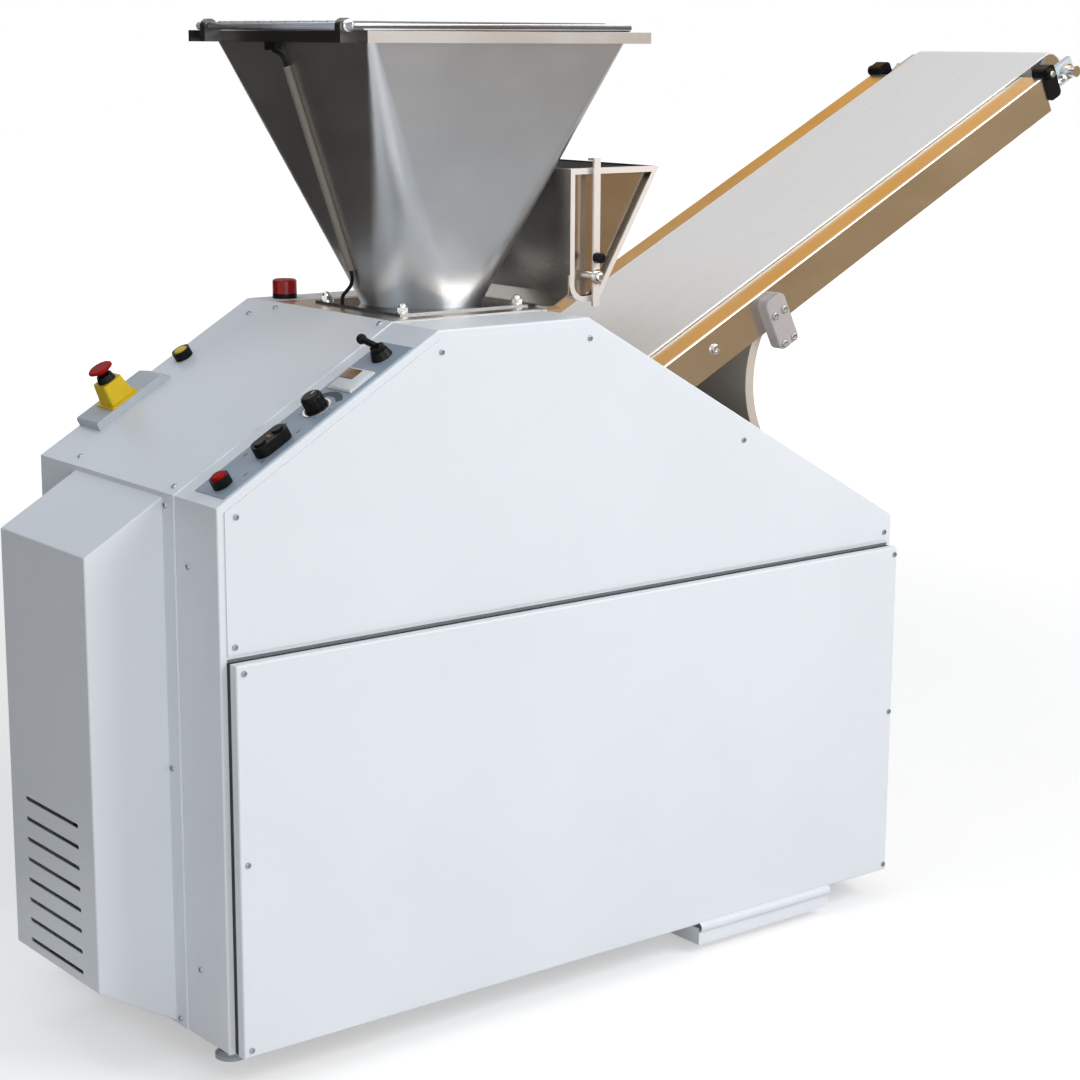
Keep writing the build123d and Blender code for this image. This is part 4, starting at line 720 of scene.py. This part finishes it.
@dataclass(frozen=True)
class ButtonScrew(Fastener):
    """Button-head screw with a round socket."""

    socket: float
    taper: float = 0.93
    crown: float = 0.9
    rounding: float = 0.42
    socket_depth: float = 0.6
    socket_slope: float = 0.1

    def template(self) -> Mould:
        """One screw head that stands on the origin."""
        mould = Mould()
        mould.cone(self.radius, self.radius * self.taper, self.height, 20, self.height * self.rounding)
        top = max(mould.bm.faces, key=lambda face: face.calc_center_median().z)
        rim = (self.radius * self.crown - self.socket) / 2
        for width, depth in (mm(rim, 0.0), mm(self.socket_slope, -self.height * self.socket_depth)):
            bmesh.ops.inset_individual(mould.bm, faces=[top], thickness=width, depth=depth)
        return mould


@dataclass(frozen=True)
class HexNut(Fastener):
    """Hexagon nut, with or without a washer."""

    washer: float = 0.0
    washer_height: float = 1.2
    rounding: float = 0.06

    def template(self) -> Mould:
        """One nut that stands on the origin."""
        mould = Mould()
        lift = 0.0
        if self.washer:
            lift = self.washer_height
            mould.cone(self.washer, self.washer, lift)
        nut = mould.cone(self.radius, self.radius, self.height, 6)
        nut = mould.round_off(nut, mould.edges_of(nut), self.radius * self.rounding, 1)
        mould.move(nut, Matrix.Translation(mm(0, 0, lift)))
        return mould


def dress(finish: Finish, *nodes: str) -> None:
    """Give CAD nodes a finish.

    Args:
        finish: The finish.
        nodes: Names of the nodes.
    """
    for node in nodes:
        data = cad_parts[node].data
        data.materials.clear()
        data.materials.append(finish.material())
        LOG.info("node %s: %s", node, finish.material().name)


def skin(name: str, node: str, finish: Finish, pick: Callable[[Face], bool]) -> None:
    """Film over some faces of a fixed stainless node, with a finish of its own; the script's films paint
    shade, highlights and reflections onto those faces.

    Args:
        name: Name of the film.
        node: Name of the node.
        finish: Finish of the film.
        pick: Tells whether a face is covered.
    """
    mould = Mould.of_node(node)
    bare = [face for face in mould.bm.faces if not pick(face)]
    bmesh.ops.delete(mould.bm, geom=bare, context="FACES")
    mould.bm.normal_update()
    for vert in mould.bm.verts:
        vert.co += vert.normal * FILM_LIFT * MM
    mould.piece(name, finish, Slot.STAINLESS).data.shade_flat()


@dataclass
class Casing:
    """Painted casing with its covers, panels and their screws."""

    screw: ButtonScrew = ButtonScrew(4.6, 2.4, 2.2)
    plate_screws: Pairs = ((383, 1000), (30, 796), (24, 610), (1328, 613), (663, 1000), (990, 809))
    panel_screws: Pairs = ((23, 577), (23, 294), (23, 11), (1330, 577), (1330, 294), (1330, 11))
    slope_screws: Pairs = ((13, 138), (370, 140), (16, 432), (348, 482), (367, 430))
    wall_screws: Pairs = (
        (141, 794), (141, 401), (137, 11), (83, 714), (76, 108), (430, 794), (430, 401), (430, 11)
    )
    cover_span: Pair = (118.0, 450.0)
    length: float = 1347.0
    width: float = 539.0
    sheet: float = 2.0
    plate_inset: float = 12.0
    panel_front: float = 26.5
    seam_rise: float = 591.4
    seam_height: float = 4.0
    skirt_spans: Pairs = ((40.0, 150.0), (418.0, 499.0))
    skirt_height: float = 30.0

    def build(self) -> None:
        """Dress the casing and set its screws."""
        dress(WHITE_PAINT, "near_casing", "far_casing", "side_plates", "lower_panels")
        dress(WHITE_PAINT, "slope_cover", "belt_guard", "discharge_cover")
        dress(BLACK_RUBBER, "panel_seals")
        dress(FRAME_PAINT, "base_frame", "inner_plates")
        dress(ZINC_PLATE, "levelling_feet")
        dress(BLACK_PLASTIC, "cable_gland")
        self.screw.scatter("casing_screws", SCREW_STEEL, self.screw_places())
        self.seam_shade_strips()
        self.end_skirts()

    def end_skirts(self) -> None:
        """Sheet strips that take the end wall down to the panels' lower edge."""
        mould = Mould()
        for start, end in self.skirt_spans:
            strip = mould.box((self.sheet, end - start, self.skirt_height))
            centre = DATUM.at(self.sheet / 2, (start + end) / 2, self.skirt_height / 2)
            mould.move(strip, Matrix.Translation(centre))
        mould.piece("end_skirts", WHITE_PAINT, Slot.WHITE)

    def seam_shade_strips(self) -> None:
        """Dark strips on the casing in the seam between plates and panels: painted shade of the gap."""
        mould = Mould()
        for depth in (-self.sheet / 2, self.width + self.sheet / 2):
            strip = mould.box((self.length - 2 * self.plate_inset, self.sheet, self.seam_height))
            mould.move(strip, Matrix.Translation(DATUM.at(self.length / 2, depth, self.seam_rise)))
        mould.piece("seam_shade_strips", SEAM_SHADE_GREY, Slot.BLACK)

    def screw_places(self) -> list[Matrix]:
        """Places of all screws of the covers, plates and panels."""
        places = []
        for side, face in ((-1, 0.0), (1, self.width)):
            for screws, proud in ((self.plate_screws, self.sheet), (self.panel_screws, self.panel_front)):
                for along, rise in screws:
                    places.append(facing(DATUM.at(along, face + side * proud, rise), (0, side, 0)))
        for depth, rise in self.wall_screws:
            places.append(facing(DATUM.at(-self.cover_lift(depth), depth, rise), (-1, 0, 0)))
        for along, depth in self.slope_screws:
            places.append(DATUM.on_slope(along / math.cos(DATUM.slope), depth, self.cover_lift(depth)))
        return places

    def cover_lift(self, depth: float) -> float:
        """Lift of a screw: one sheet where a cover lies on the casing at this depth, else none."""
        return self.sheet if self.cover_span[0] < depth < self.cover_span[1] else 0.0


@dataclass
class Hopper:
    """Stainless hopper with its grid, base plate, switch and nuts."""

    conduit_top: Point = (312.16, 298.0, 1406.5)
    conduit_foot: Point = (423.37, 298.0, 1094.0)
    sleeve_radius: float = 5.7
    sleeve_rounding: float = 0.6
    hinge: Point = (277.0, 277.0, 1466.0)
    lug_outside: float = 197.0
    bore_radius: float = 6.5
    collar_gap: float = 0.5
    collar_radius: float = 9.0
    collar_width: float = 6.0
    collar_rounding: float = 0.8
    rim_corner: Point = (295.3, 277.0, 1442.0)
    bar_rounding: float = 4.5
    bar_share: float = 0.9
    square_degrees: float = 80.0

    def build(self) -> None:
        """Dress the hopper."""
        dress(HOPPER_STEEL, "hopper_shell")
        dress(PLATE_STEEL, "hopper_base")
        dress(SHEET_STEEL, "top_deck")
        dress(ROD_STEEL, "hold_down_knobs")
        dress(BLACK_PLASTIC, "grid_switch")
        self.sleeve()
        self.hinge_collars()
        self.rounded_grid()
        # Dark film on the rim's hinge side and lugs: painted shade of their dark reflection.
        skin("hinge_side_shade", "hopper_shell", HINGE_SIDE_SHADE_STEEL, self.on_hinge_side)

    def on_hinge_side(self, face: Face) -> bool:
        """Tell whether a face is on the hinge side of the rim or on a lug, outside its bore.

        Args:
            face: Face of the hopper's shell.

        Returns:
            Whether it is.
        """
        middle, axis, corner = face.calc_center_median(), DATUM.at(*self.hinge), DATUM.at(*self.rim_corner)
        reach = math.hypot(middle.x - axis.x, middle.z - axis.z)
        bored = abs(face.normal.y) < 0.5 and reach < self.bore_radius * MM
        return middle.x < corner.x and middle.z > corner.z and not bored

    def rounded_grid(self) -> None:
        """Grid whose two long bars have rounded edges."""
        mould = Mould.of_node("safety_grid")
        low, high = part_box("safety_grid")
        reach, square = self.bar_share * (high.x - low.x), math.radians(self.square_degrees)
        long_edges = [edge for edge in mould.bm.edges if edge.calc_length() > reach]
        sharp = [edge for edge in long_edges if edge.calc_face_angle(0.0) > square]
        mould.round_off(list(mould.bm.verts), sharp, self.bar_rounding, 4)
        made = mould.piece("safety_grid_finished", GRID_STEEL, Slot.STAINLESS, Body.GRID)
        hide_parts("safety_grid")

    def sleeve(self) -> None:
        """Matt sleeve over the conduit on the hopper's wall."""
        mould = Mould()
        top, foot = DATUM.at(*self.conduit_top), DATUM.at(*self.conduit_foot)
        radius, length = self.sleeve_radius, (top - foot).length / MM
        tube = mould.cone(radius, radius, length, bevel=self.sleeve_rounding)
        mould.move(tube, facing(foot, top - foot))
        mould.piece("conduit_sleeve", CONDUIT_TAN, Slot.PALE)

    def hinge_collars(self) -> None:
        """Collars that keep the grid's hinge bar between its lugs."""
        mould = Mould()
        along, depth, rise = self.hinge
        radius = self.collar_radius
        for side in (-1, 1):
            collar = mould.cone(radius, radius, self.collar_width, 28, self.collar_rounding)
            place = DATUM.at(along, depth + side * (self.lug_outside + self.collar_gap), rise)
            mould.move(collar, facing(place, (0, side, 0)))
        mould.piece("hinge_collars", ROD_STEEL, Slot.STEEL, Body.GRID)


@dataclass
class Controls:
    """Control slope: plate, buttons, knob, selector, counter, emergency stop and lamp."""

    row: float = 47.0
    plate: float = 1.5
    lamp_at: Point = (138.0, 39.0, 18.5)
    lamp_radius: float = 4.2
    lamp_squash: float = 0.5
    knob_at: float = 229.0
    knob_top: float = 25.8
    pointer: Point = (7.0, 1.6, 0.5)
    pointer_centre: Point = (6.0, 0.0, 0.15)
    pointer_rounding: float = 0.15
    ring_radii: Pair = (19.3, 22.6)
    ring_height: float = 1.4
    scale_radii: Pair = (25.0, 28.6)
    dial_ticks: int = 11
    dial_sweep: float = 270.0
    tick_width: float = 1.3
    print_height: float = 0.2
    fan_radii: Pair = (29.5, 41.0)
    fan_sweep: float = 96.0
    counter_at: float = 298.0
    counter_top: float = 4.5
    counter_face: Point = (46.0, 56.0, 1.2)
    counter_rounding: float = 0.5
    window_at: Pair = (308.0, 58.0)
    window: Point = (22.0, 34.0, 0.8)
    window_rounding: float = 0.3
    marks: Pairs = ((73.0, 24.0), (104.0, 22.0), (108.0, 74.0), (176.0, 26.0), (184.0, 72.0))
    mark: Point = (8.0, 2.2, 0.15)
    mark_lift: float = 0.08
    mushroom_at: Pair = (142.0, 497.0)
    stem_top: float = 64.4

    def build(self) -> None:
        """Dress the controls and add their small parts."""
        dress(CONTROL_PAINT, "control_plate")
        dress(BLACK_PLASTIC, "control_collars", "start_button", "halt_button", "speed_knob", "mode_lever")
        dress(WHITE_PLASTIC, "piece_counter")
        dress(RED_PLASTIC, "stop_button")
        dress(YELLOW_PLASTIC, "cycle_button", "stop_pedestal")
        dress(GREY_PLASTIC, "stop_box")
        dress(RED_LENS, "signal_lens")
        self.mushroom()
        self.dial()
        self.knob_pointer()
        self.counter()
        self.twin_lamp()
        self.print_marks()

    def mushroom(self) -> None:
        """Emergency stop with a red head on a black stem."""
        mould = Mould.of_node("stop_mushroom")
        to_slope = DATUM.on_slope(*self.mushroom_at).inverted()
        for face in mould.bm.faces:
            face.material_index = int((to_slope @ face.calc_center_median()).z < self.stem_top * MM)
        made = mould.piece("stop_mushroom_finished", RED_PLASTIC, Slot.RED, Body.STOP)
        made.data.materials.append(BLACK_PLASTIC.material())
        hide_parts("stop_mushroom")

    def dial(self) -> None:
        """Ring, scale and fan-shaped print round the speed knob."""
        centre = DATUM.on_slope(self.knob_at, self.row, self.plate)
        ring = Mould()
        ring.move(ring.band(self.ring_radii, self.ring_height), centre)
        ring.piece("knob_ring", ROD_STEEL, Slot.STEEL)
        scale = Mould()
        inner, outer = self.scale_radii
        size = (outer - inner, self.tick_width, self.print_height)
        for step in range(self.dial_ticks):
            tick = scale.box(size, ((inner + outer) / 2, 0, self.print_height / 2))
            turn = -self.dial_sweep / 2 + self.dial_sweep * step / (self.dial_ticks - 1)
            scale.move(tick, centre @ Matrix.Rotation(math.radians(turn), 4, "Z"))
        fan = scale.band(self.fan_radii, self.print_height, -self.fan_sweep / 2, self.fan_sweep)
        scale.move(fan, centre)
        scale.piece("dial_scale", PRINT_DARK, Slot.BLACK)

    def knob_pointer(self) -> None:
        """Pale line on top of the speed knob."""
        mould = Mould()
        line = mould.box(self.pointer, self.pointer_centre, self.pointer_rounding)
        mould.move(line, DATUM.on_slope(self.knob_at, self.row, self.knob_top))
        mould.piece("knob_pointer", PRINT_WHITE, Slot.PALE, Body.SPEED)

    def counter(self) -> None:
        """Raised face of the counter with its dark amber window."""
        face = Mould()
        thickness = self.counter_face[2]
        plate = face.box(self.counter_face, (0, 0, thickness / 2), self.counter_rounding)
        face.move(plate, DATUM.on_slope(self.counter_at, self.row, self.counter_top))
        face.piece("counter_face", WHITE_PLASTIC, Slot.PALE)
        glass = Mould()
        pane = glass.box(self.window, (0, 0, self.window[2] / 2), self.window_rounding)
        glass.move(pane, DATUM.on_slope(*self.window_at, self.counter_top + thickness))
        glass.piece("counter_window", AMBER_LENS, Slot.LENS)

    def twin_lamp(self) -> None:
        """Small lamp between the two buttons."""
        mould = Mould()
        mould.move(mould.dome(self.lamp_radius, self.lamp_squash), DATUM.on_slope(*self.lamp_at))
        mould.piece("twin_lamp", AMBER_LENS, Slot.LENS)

    def print_marks(self) -> None:
        """Short dark marks printed beside the buttons."""
        mould = Mould()
        for distance, depth in self.marks:
            mark = mould.box(self.mark, (0, 0, self.mark_lift))
            mould.move(mark, DATUM.on_slope(distance, depth, self.plate))
        mould.piece("print_marks", PRINT_DARK, Slot.BLACK)


@dataclass
class Conveyor:
    """Inclined discharge conveyor. Places are along the belt from the tail roller, across and above it."""

    tail: Point = (580.0, 277.0, 789.2)
    half_width: float = 212.6
    link_at: float = 567.0
    link_thickness: float = 22.0
    link_places: Pairs = ((-11.5, -45.0), (11.5, -45.0), (-11.5, -98.0), (11.5, -98.0))
    link_screw: ButtonScrew = ButtonScrew(7.0, 3.4, 3.4)
    bolt_at: Pair = (432.0, -37.0)
    bolt: ButtonScrew = ButtonScrew(9.0, 5.0, 3.4)
    clamp_at: Point = (1340.0, 217.0, -4.0)
    clamp_radius: float = 10.5
    clamp_height: float = 9.0
    clamp_taper: float = 0.92
    clamp_rounding: float = 1.5
    clamp_nut: HexNut = HexNut(5.0, 3.5, 6.0)
    clamp_nut_sink: float = 0.2
    tension_at: Point = (1360.0, 208.0, -34.0)
    tension_reach: float = 28.0
    tension_radius: float = 4.0
    tension_rounding: float = 0.8
    tension_nut: HexNut = HexNut(8.5, 6.5)
    tension_nut_gaps: Pair = (0.5, 9.0)

    def build(self) -> None:
        """Dress the conveyor and set its screws."""
        dress(RAIL_STEEL, "conveyor_rails", "conveyor_bed")
        dress(ZINC_PLATE, "takeup_plates")
        dress(BELT_FACE, "conveyor_belt")
        dress(ROD_STEEL, "head_roller", "tail_roller")
        dress(BLACK_PLASTIC, "takeup_blocks")
        dress(LINK_PLASTIC, "rail_links")
        dress(GUARD_STEEL, "discharge_guard")
        links, bolts = [], []
        for side in (-1, 1):
            for along, up in self.link_places:
                face = self.half_width + self.link_thickness
                links.append(self.outside(self.link_at + along, face, up, side))
            bolts.append(self.outside(self.bolt_at[0], self.half_width, self.bolt_at[1], side))
        self.link_screw.scatter("link_screws", MACHINED_STEEL, links)
        self.bolt.scatter("rail_bolts", ROD_STEEL, bolts)
        self.clamps()
        self.tension_bolts()

    def clamps(self) -> None:
        """Black clamp knobs on the take-up blocks, with a bright nut in each."""
        knobs = Mould()
        nuts = []
        foot, head = self.clamp_radius, self.clamp_radius * self.clamp_taper
        for side in (-1, 1):
            place = self.outside(*self.clamp_at, side)
            knobs.move(knobs.cone(foot, head, self.clamp_height, 28, self.clamp_rounding), place)
            nuts.append(place @ Matrix.Translation(mm(0, 0, self.clamp_height - self.clamp_nut_sink)))
        knobs.piece("takeup_clamps", BLACK_PLASTIC, Slot.BLACK)
        self.clamp_nut.scatter("clamp_nuts", ROD_STEEL, nuts)

    def tension_bolts(self) -> None:
        """Bright bolts that draw the take-up plates along."""
        rods = Mould()
        nuts = []
        along, across, up = self.tension_at
        radius, reach = self.tension_radius, self.tension_reach
        foot_gap, tip_gap = self.tension_nut_gaps
        turn = self.matrix() @ Matrix.Rotation(math.radians(90.0), 4, "Y")
        turn.translation = (0, 0, 0)
        for side in (-1, 1):
            foot = Matrix.Translation(self.matrix() @ Vector(mm(along, side * across, up))) @ turn
            rods.move(rods.cone(radius, radius, reach, 20, self.tension_rounding), foot)
            for lift in (foot_gap, reach - tip_gap):
                nuts.append(foot @ Matrix.Translation(mm(0, 0, lift)))
        rods.piece("tension_rods", ROD_STEEL, Slot.STEEL)
        self.tension_nut.scatter("tension_nuts", ROD_STEEL, nuts)

    def matrix(self) -> Matrix:
        """Matrix of the conveyor's own frame, with the tail roller at zero."""
        turn = Matrix.Rotation(math.radians(-INCLINE_DEGREES), 4, "Y")
        return Matrix.Translation(DATUM.at(*self.tail)) @ turn

    def outside(self, along: float, across: float, up: float, side: int) -> Matrix:
        """Place on a rail's outer side.

        Args:
            along: Millimetres along the belt.
            across: Millimetres from the belt's middle.
            up: Millimetres above the belt.
            side: Side that the piece looks to, -1 for near and 1 for far.

        Returns:
            The placing matrix.
        """
        return facing(self.matrix() @ Vector(mm(along, side * across, up)), (0, side, 0))


@dataclass
class Duster:
    """Flour duster over the belt."""

    recess: float = 10.0
    tolerance: float = 0.5

    def build(self) -> None:
        """Dress the duster."""
        dress(SHEET_STEEL, "duster_trough", "duster_bracket")
        dress(ROD_STEEL, "duster_rotor")
        dress(PALE_STEEL, "duster_lever")
        dress(BLACK_PLASTIC, "lever_knob")
        # Paler film on the outermost faces of the trough's ends: painted highlight on the rims.
        skin("duster_rim_highlight", "duster_trough", PALE_STEEL, self.at_depth(0.0))
        # Warmer film on the recessed end plates: painted warm reflection.
        skin("duster_end_reflection", "duster_trough", WARM_REFLECTION_STEEL, self.at_depth(self.recess))
        # Near-black film on the trough's inner faces: painted shade.
        skin("duster_inner_shade", "duster_trough", INNER_SHADE_STEEL, self.faces_in)

    def faces_in(self, face: Face) -> bool:
        """Tell whether a face of the trough looks into it, between its end plates."""
        low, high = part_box("duster_trough")
        inward = (low + high) / 2 - face.calc_center_median()
        inside = abs(inward.y) < (high.y - low.y) / 2 - self.recess * MM
        return inside and face.normal.dot(inward) > 0.0

    def at_depth(self, depth: float) -> Callable[[Face], bool]:
        """Test for faces of the two ends.

        Args:
            depth: Millimetres from the outermost plane of an end.

        Returns:
            A test that is true for the faces that look outward at this depth.
        """
        low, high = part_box("duster_trough")

        def lies_there(face: Face) -> bool:
            """Tell whether a face looks outward at the depth."""
            end = low.y + depth * MM if face.normal.y < 0 else high.y - depth * MM
            off = abs(face.calc_center_median().y - end)
            return abs(face.normal.y) > 0.99 and off < self.tolerance * MM

        return lies_there


class Drive:
    """Works inside the casing."""

    def build(self) -> None:
        """Dress the works."""
        dress(CAST_GREY, "gearbox", "dough_chamber")
        dress(MOTOR_BLUE, "drive_motor")
        dress(MACHINED_STEEL, "ram_lever", "conrod", "crankshaft", "driven_pulley", "motor_pulley")
        dress(SHEET_STEEL, "ram", "knife", "measuring_drum")
        dress(WHITE_PLASTIC, "measuring_pistons")
        dress(BLACK_RUBBER, "drive_belts")
        dress(CABINET_GREY, "electric_box")


class Tray:
    """Scrap tray under the near panel."""

    def build(self) -> None:
        """Dress the tray."""
        dress(WHITE_PAINT, "scrap_tray")


@dataclass(frozen=True)
class Card:
    """Glowing board that only shiny surfaces see. Lengths are metres."""

    name: str
    place: Point
    facing: Point
    size: Pair
    colour: Colour

    def build(self) -> None:
        """Set the board up."""
        mould = Mould()
        matrix = facing(Vector(self.place), self.facing) @ Matrix.Diagonal((*self.size, 1.0, 1.0))
        bmesh.ops.create_grid(mould.bm, x_segments=1, y_segments=1, size=0.5, matrix=matrix)
        made = show(self.name, mould.mesh(self.name))
        shade = Shade(bpy.data.materials.new(self.name))
        glow = (*self.colour, 1.0)
        board = shade.surface((0, 0, 0), 1.0, Emission_Color=glow, Emission_Strength=1.0)
        made.data.materials.append(board)
        for ray in ("camera", "diffuse", "transmission", "shadow"):
            setattr(made, f"visible_{ray}", False)


@dataclass(frozen=True)
class Lamp:
    """Soft square lamp aimed at the machine. Lengths are metres, its power is watts."""

    name: str
    place: Point
    target: Point
    size: float
    power: float
    colour: Colour = (1.0, 1.0, 1.0)

    def build(self) -> None:
        """Hang the lamp."""
        data = bpy.data.lights.new(self.name, "AREA")
        data.size = self.size
        data.energy = self.power
        data.color = self.colour
        lamp = show(self.name, data)
        lamp.location = self.place
        aim = Vector(self.target) - Vector(self.place)
        lamp.rotation_euler = aim.to_track_quat("-Z", "Y").to_euler()


@dataclass
class Studio:
    """Floor, lamps, boards for the steel to mirror, and the camera, whose place is millimetres."""

    camera_at: Point = (-1615.2, -2787.4, 1450.0)
    yaw: float = 51.917
    pitch: float = 12.038
    roll: float = 0.319
    lens: float = 78.42
    sensor: float = 36.0
    world_light: float = 0.3
    floor_size: float = 30.0
    floor_greys: Pair = (0.69, 0.72)
    floor_rough: float = 0.8
    glow_near: float = 0.43
    glow_gain: float = 0.45
    glow_span: Pair = (1.5, 6.0)
    cards: tuple[Card, ...] = (
        Card("dark_floor_card", (-1.6, 3.4, 0.03), (0, 0, 1), (5.0, 5.6), (0.030, 0.024, 0.019)),
        Card("dark_side_card", (-3.2, 3.3, 2.0), (0.7, -0.7, 0), (6.0, 4.4), (0.045, 0.038, 0.030)),
        Card("grey_floor_card", (2.3, -2.1, 0.03), (0, 0, 1), (4.0, 3.4), (0.38, 0.345, 0.315)),
        Card("blue_floor_card", (0.75, -1.15, 0.035), (0, 0, 1), (2.3, 1.9), (0.56, 0.61, 0.67)),
        Card("orange_high_card", (2.2, 3.2, 4.0), (0, -1, -0.25), (2.9, 2.9), (0.92, 0.46, 0.06)),
        Card("tan_side_card", (4.25, -2.15, 1.1), (-0.7, 0.7, 0), (3.7, 2.2), (0.40, 0.28, 0.145)),
        Card("brown_high_card", (2.0, 3.1, 3.0), (0, -1, 0), (3.4, 1.2), (0.46, 0.29, 0.12)),
        Card("brown_low_card", (1.75, 3.25, 1.55), (0, -1, 0), (1.1, 0.8), (0.07, 0.05, 0.033)),
        Card("brown_side_card", (2.30, -4.10, 1.1), (-0.7, 0.7, 0), (1.8, 2.2), (0.32, 0.18, 0.07)),
    )
    lamps: tuple[Lamp, ...] = (
        Lamp("key", (2.35, -3.45, 3.5), (0.1, 0.0, 0.7), 2.6, 128.0),
        Lamp("fill", (-1.6, -4.7, 1.6), (-0.3, 0.0, 0.6), 2.2, 60.0),
        Lamp("top", (-0.8, 0.5, 4.3), (0.0, 0.0, 0.8), 3.0, 37.0, (0.74, 0.87, 1.0)),
    )

    def build(self) -> None:
        """Set the stage."""
        self.world()
        self.floor()
        for prop in self.cards + self.lamps:
            prop.build()
        self.camera()
        bpy.context.scene.view_settings.view_transform = "Standard"

    def camera(self) -> None:
        """Camera at the photograph's viewing angle."""
        data = bpy.data.cameras.new("camera")
        data.lens = self.lens
        data.sensor_width = self.sensor
        camera = show("camera", data)
        matrix = Matrix.Translation(DATUM.at(*self.camera_at))
        for angle, axis in ((self.yaw - 90.0, "Z"), (90.0 - self.pitch, "X"), (self.roll, "Z")):
            matrix = matrix @ Matrix.Rotation(math.radians(angle), 4, axis)
        camera.matrix_world = matrix
        bpy.context.scene.camera = camera

    def world(self) -> None:
        """Pale surroundings: white to the camera and in reflections, softer as light."""
        shade = Shade(bpy.data.worlds.new("studio"))
        strength = self.world_light + shade.seen() * (1.0 - self.world_light)
        bpy.context.scene.world = shade.surround((1.0, 1.0, 1.0), strength)

    def floor(self) -> None:
        """Wide pale floor that keeps a soft shadow near the machine and fades to white."""
        mould = Mould()
        bmesh.ops.create_grid(mould.bm, x_segments=1, y_segments=1, size=self.floor_size)
        made = show("floor", mould.mesh("floor"))
        shade = Shade(bpy.data.materials.new("floor"))
        where = shade.place()
        dark, pale = ((grey, grey, grey) for grey in self.floor_greys)
        colour = shade.blend(shade.noise(where, 2.0), dark, pale)
        reach = shade.node("ShaderNodeVectorMath", {"operation": "LENGTH"}, {0: where}, "Value")
        light = shade.seen() * (self.glow_near + reach.ramp(*self.glow_span) * self.glow_gain)
        glow = shade.blend(light, (0, 0, 0), (1, 1, 1))
        board = shade.surface(colour, self.floor_rough, Emission_Color=glow, Emission_Strength=1.0)
        made.data.materials.append(board)


def main() -> None:
    """Build the studio and every sub-assembly in order."""
    logging.basicConfig(level=logging.INFO, format="%(name)s %(message)s")
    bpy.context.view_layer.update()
    Studio().build()
    for assembly in (Casing(), Hopper(), Controls(), Conveyor(), Duster(), Drive(), Tray()):
        LOG.info("assembly %s", type(assembly).__name__)
        assembly.build()


if __name__ == "__main__":
    main()
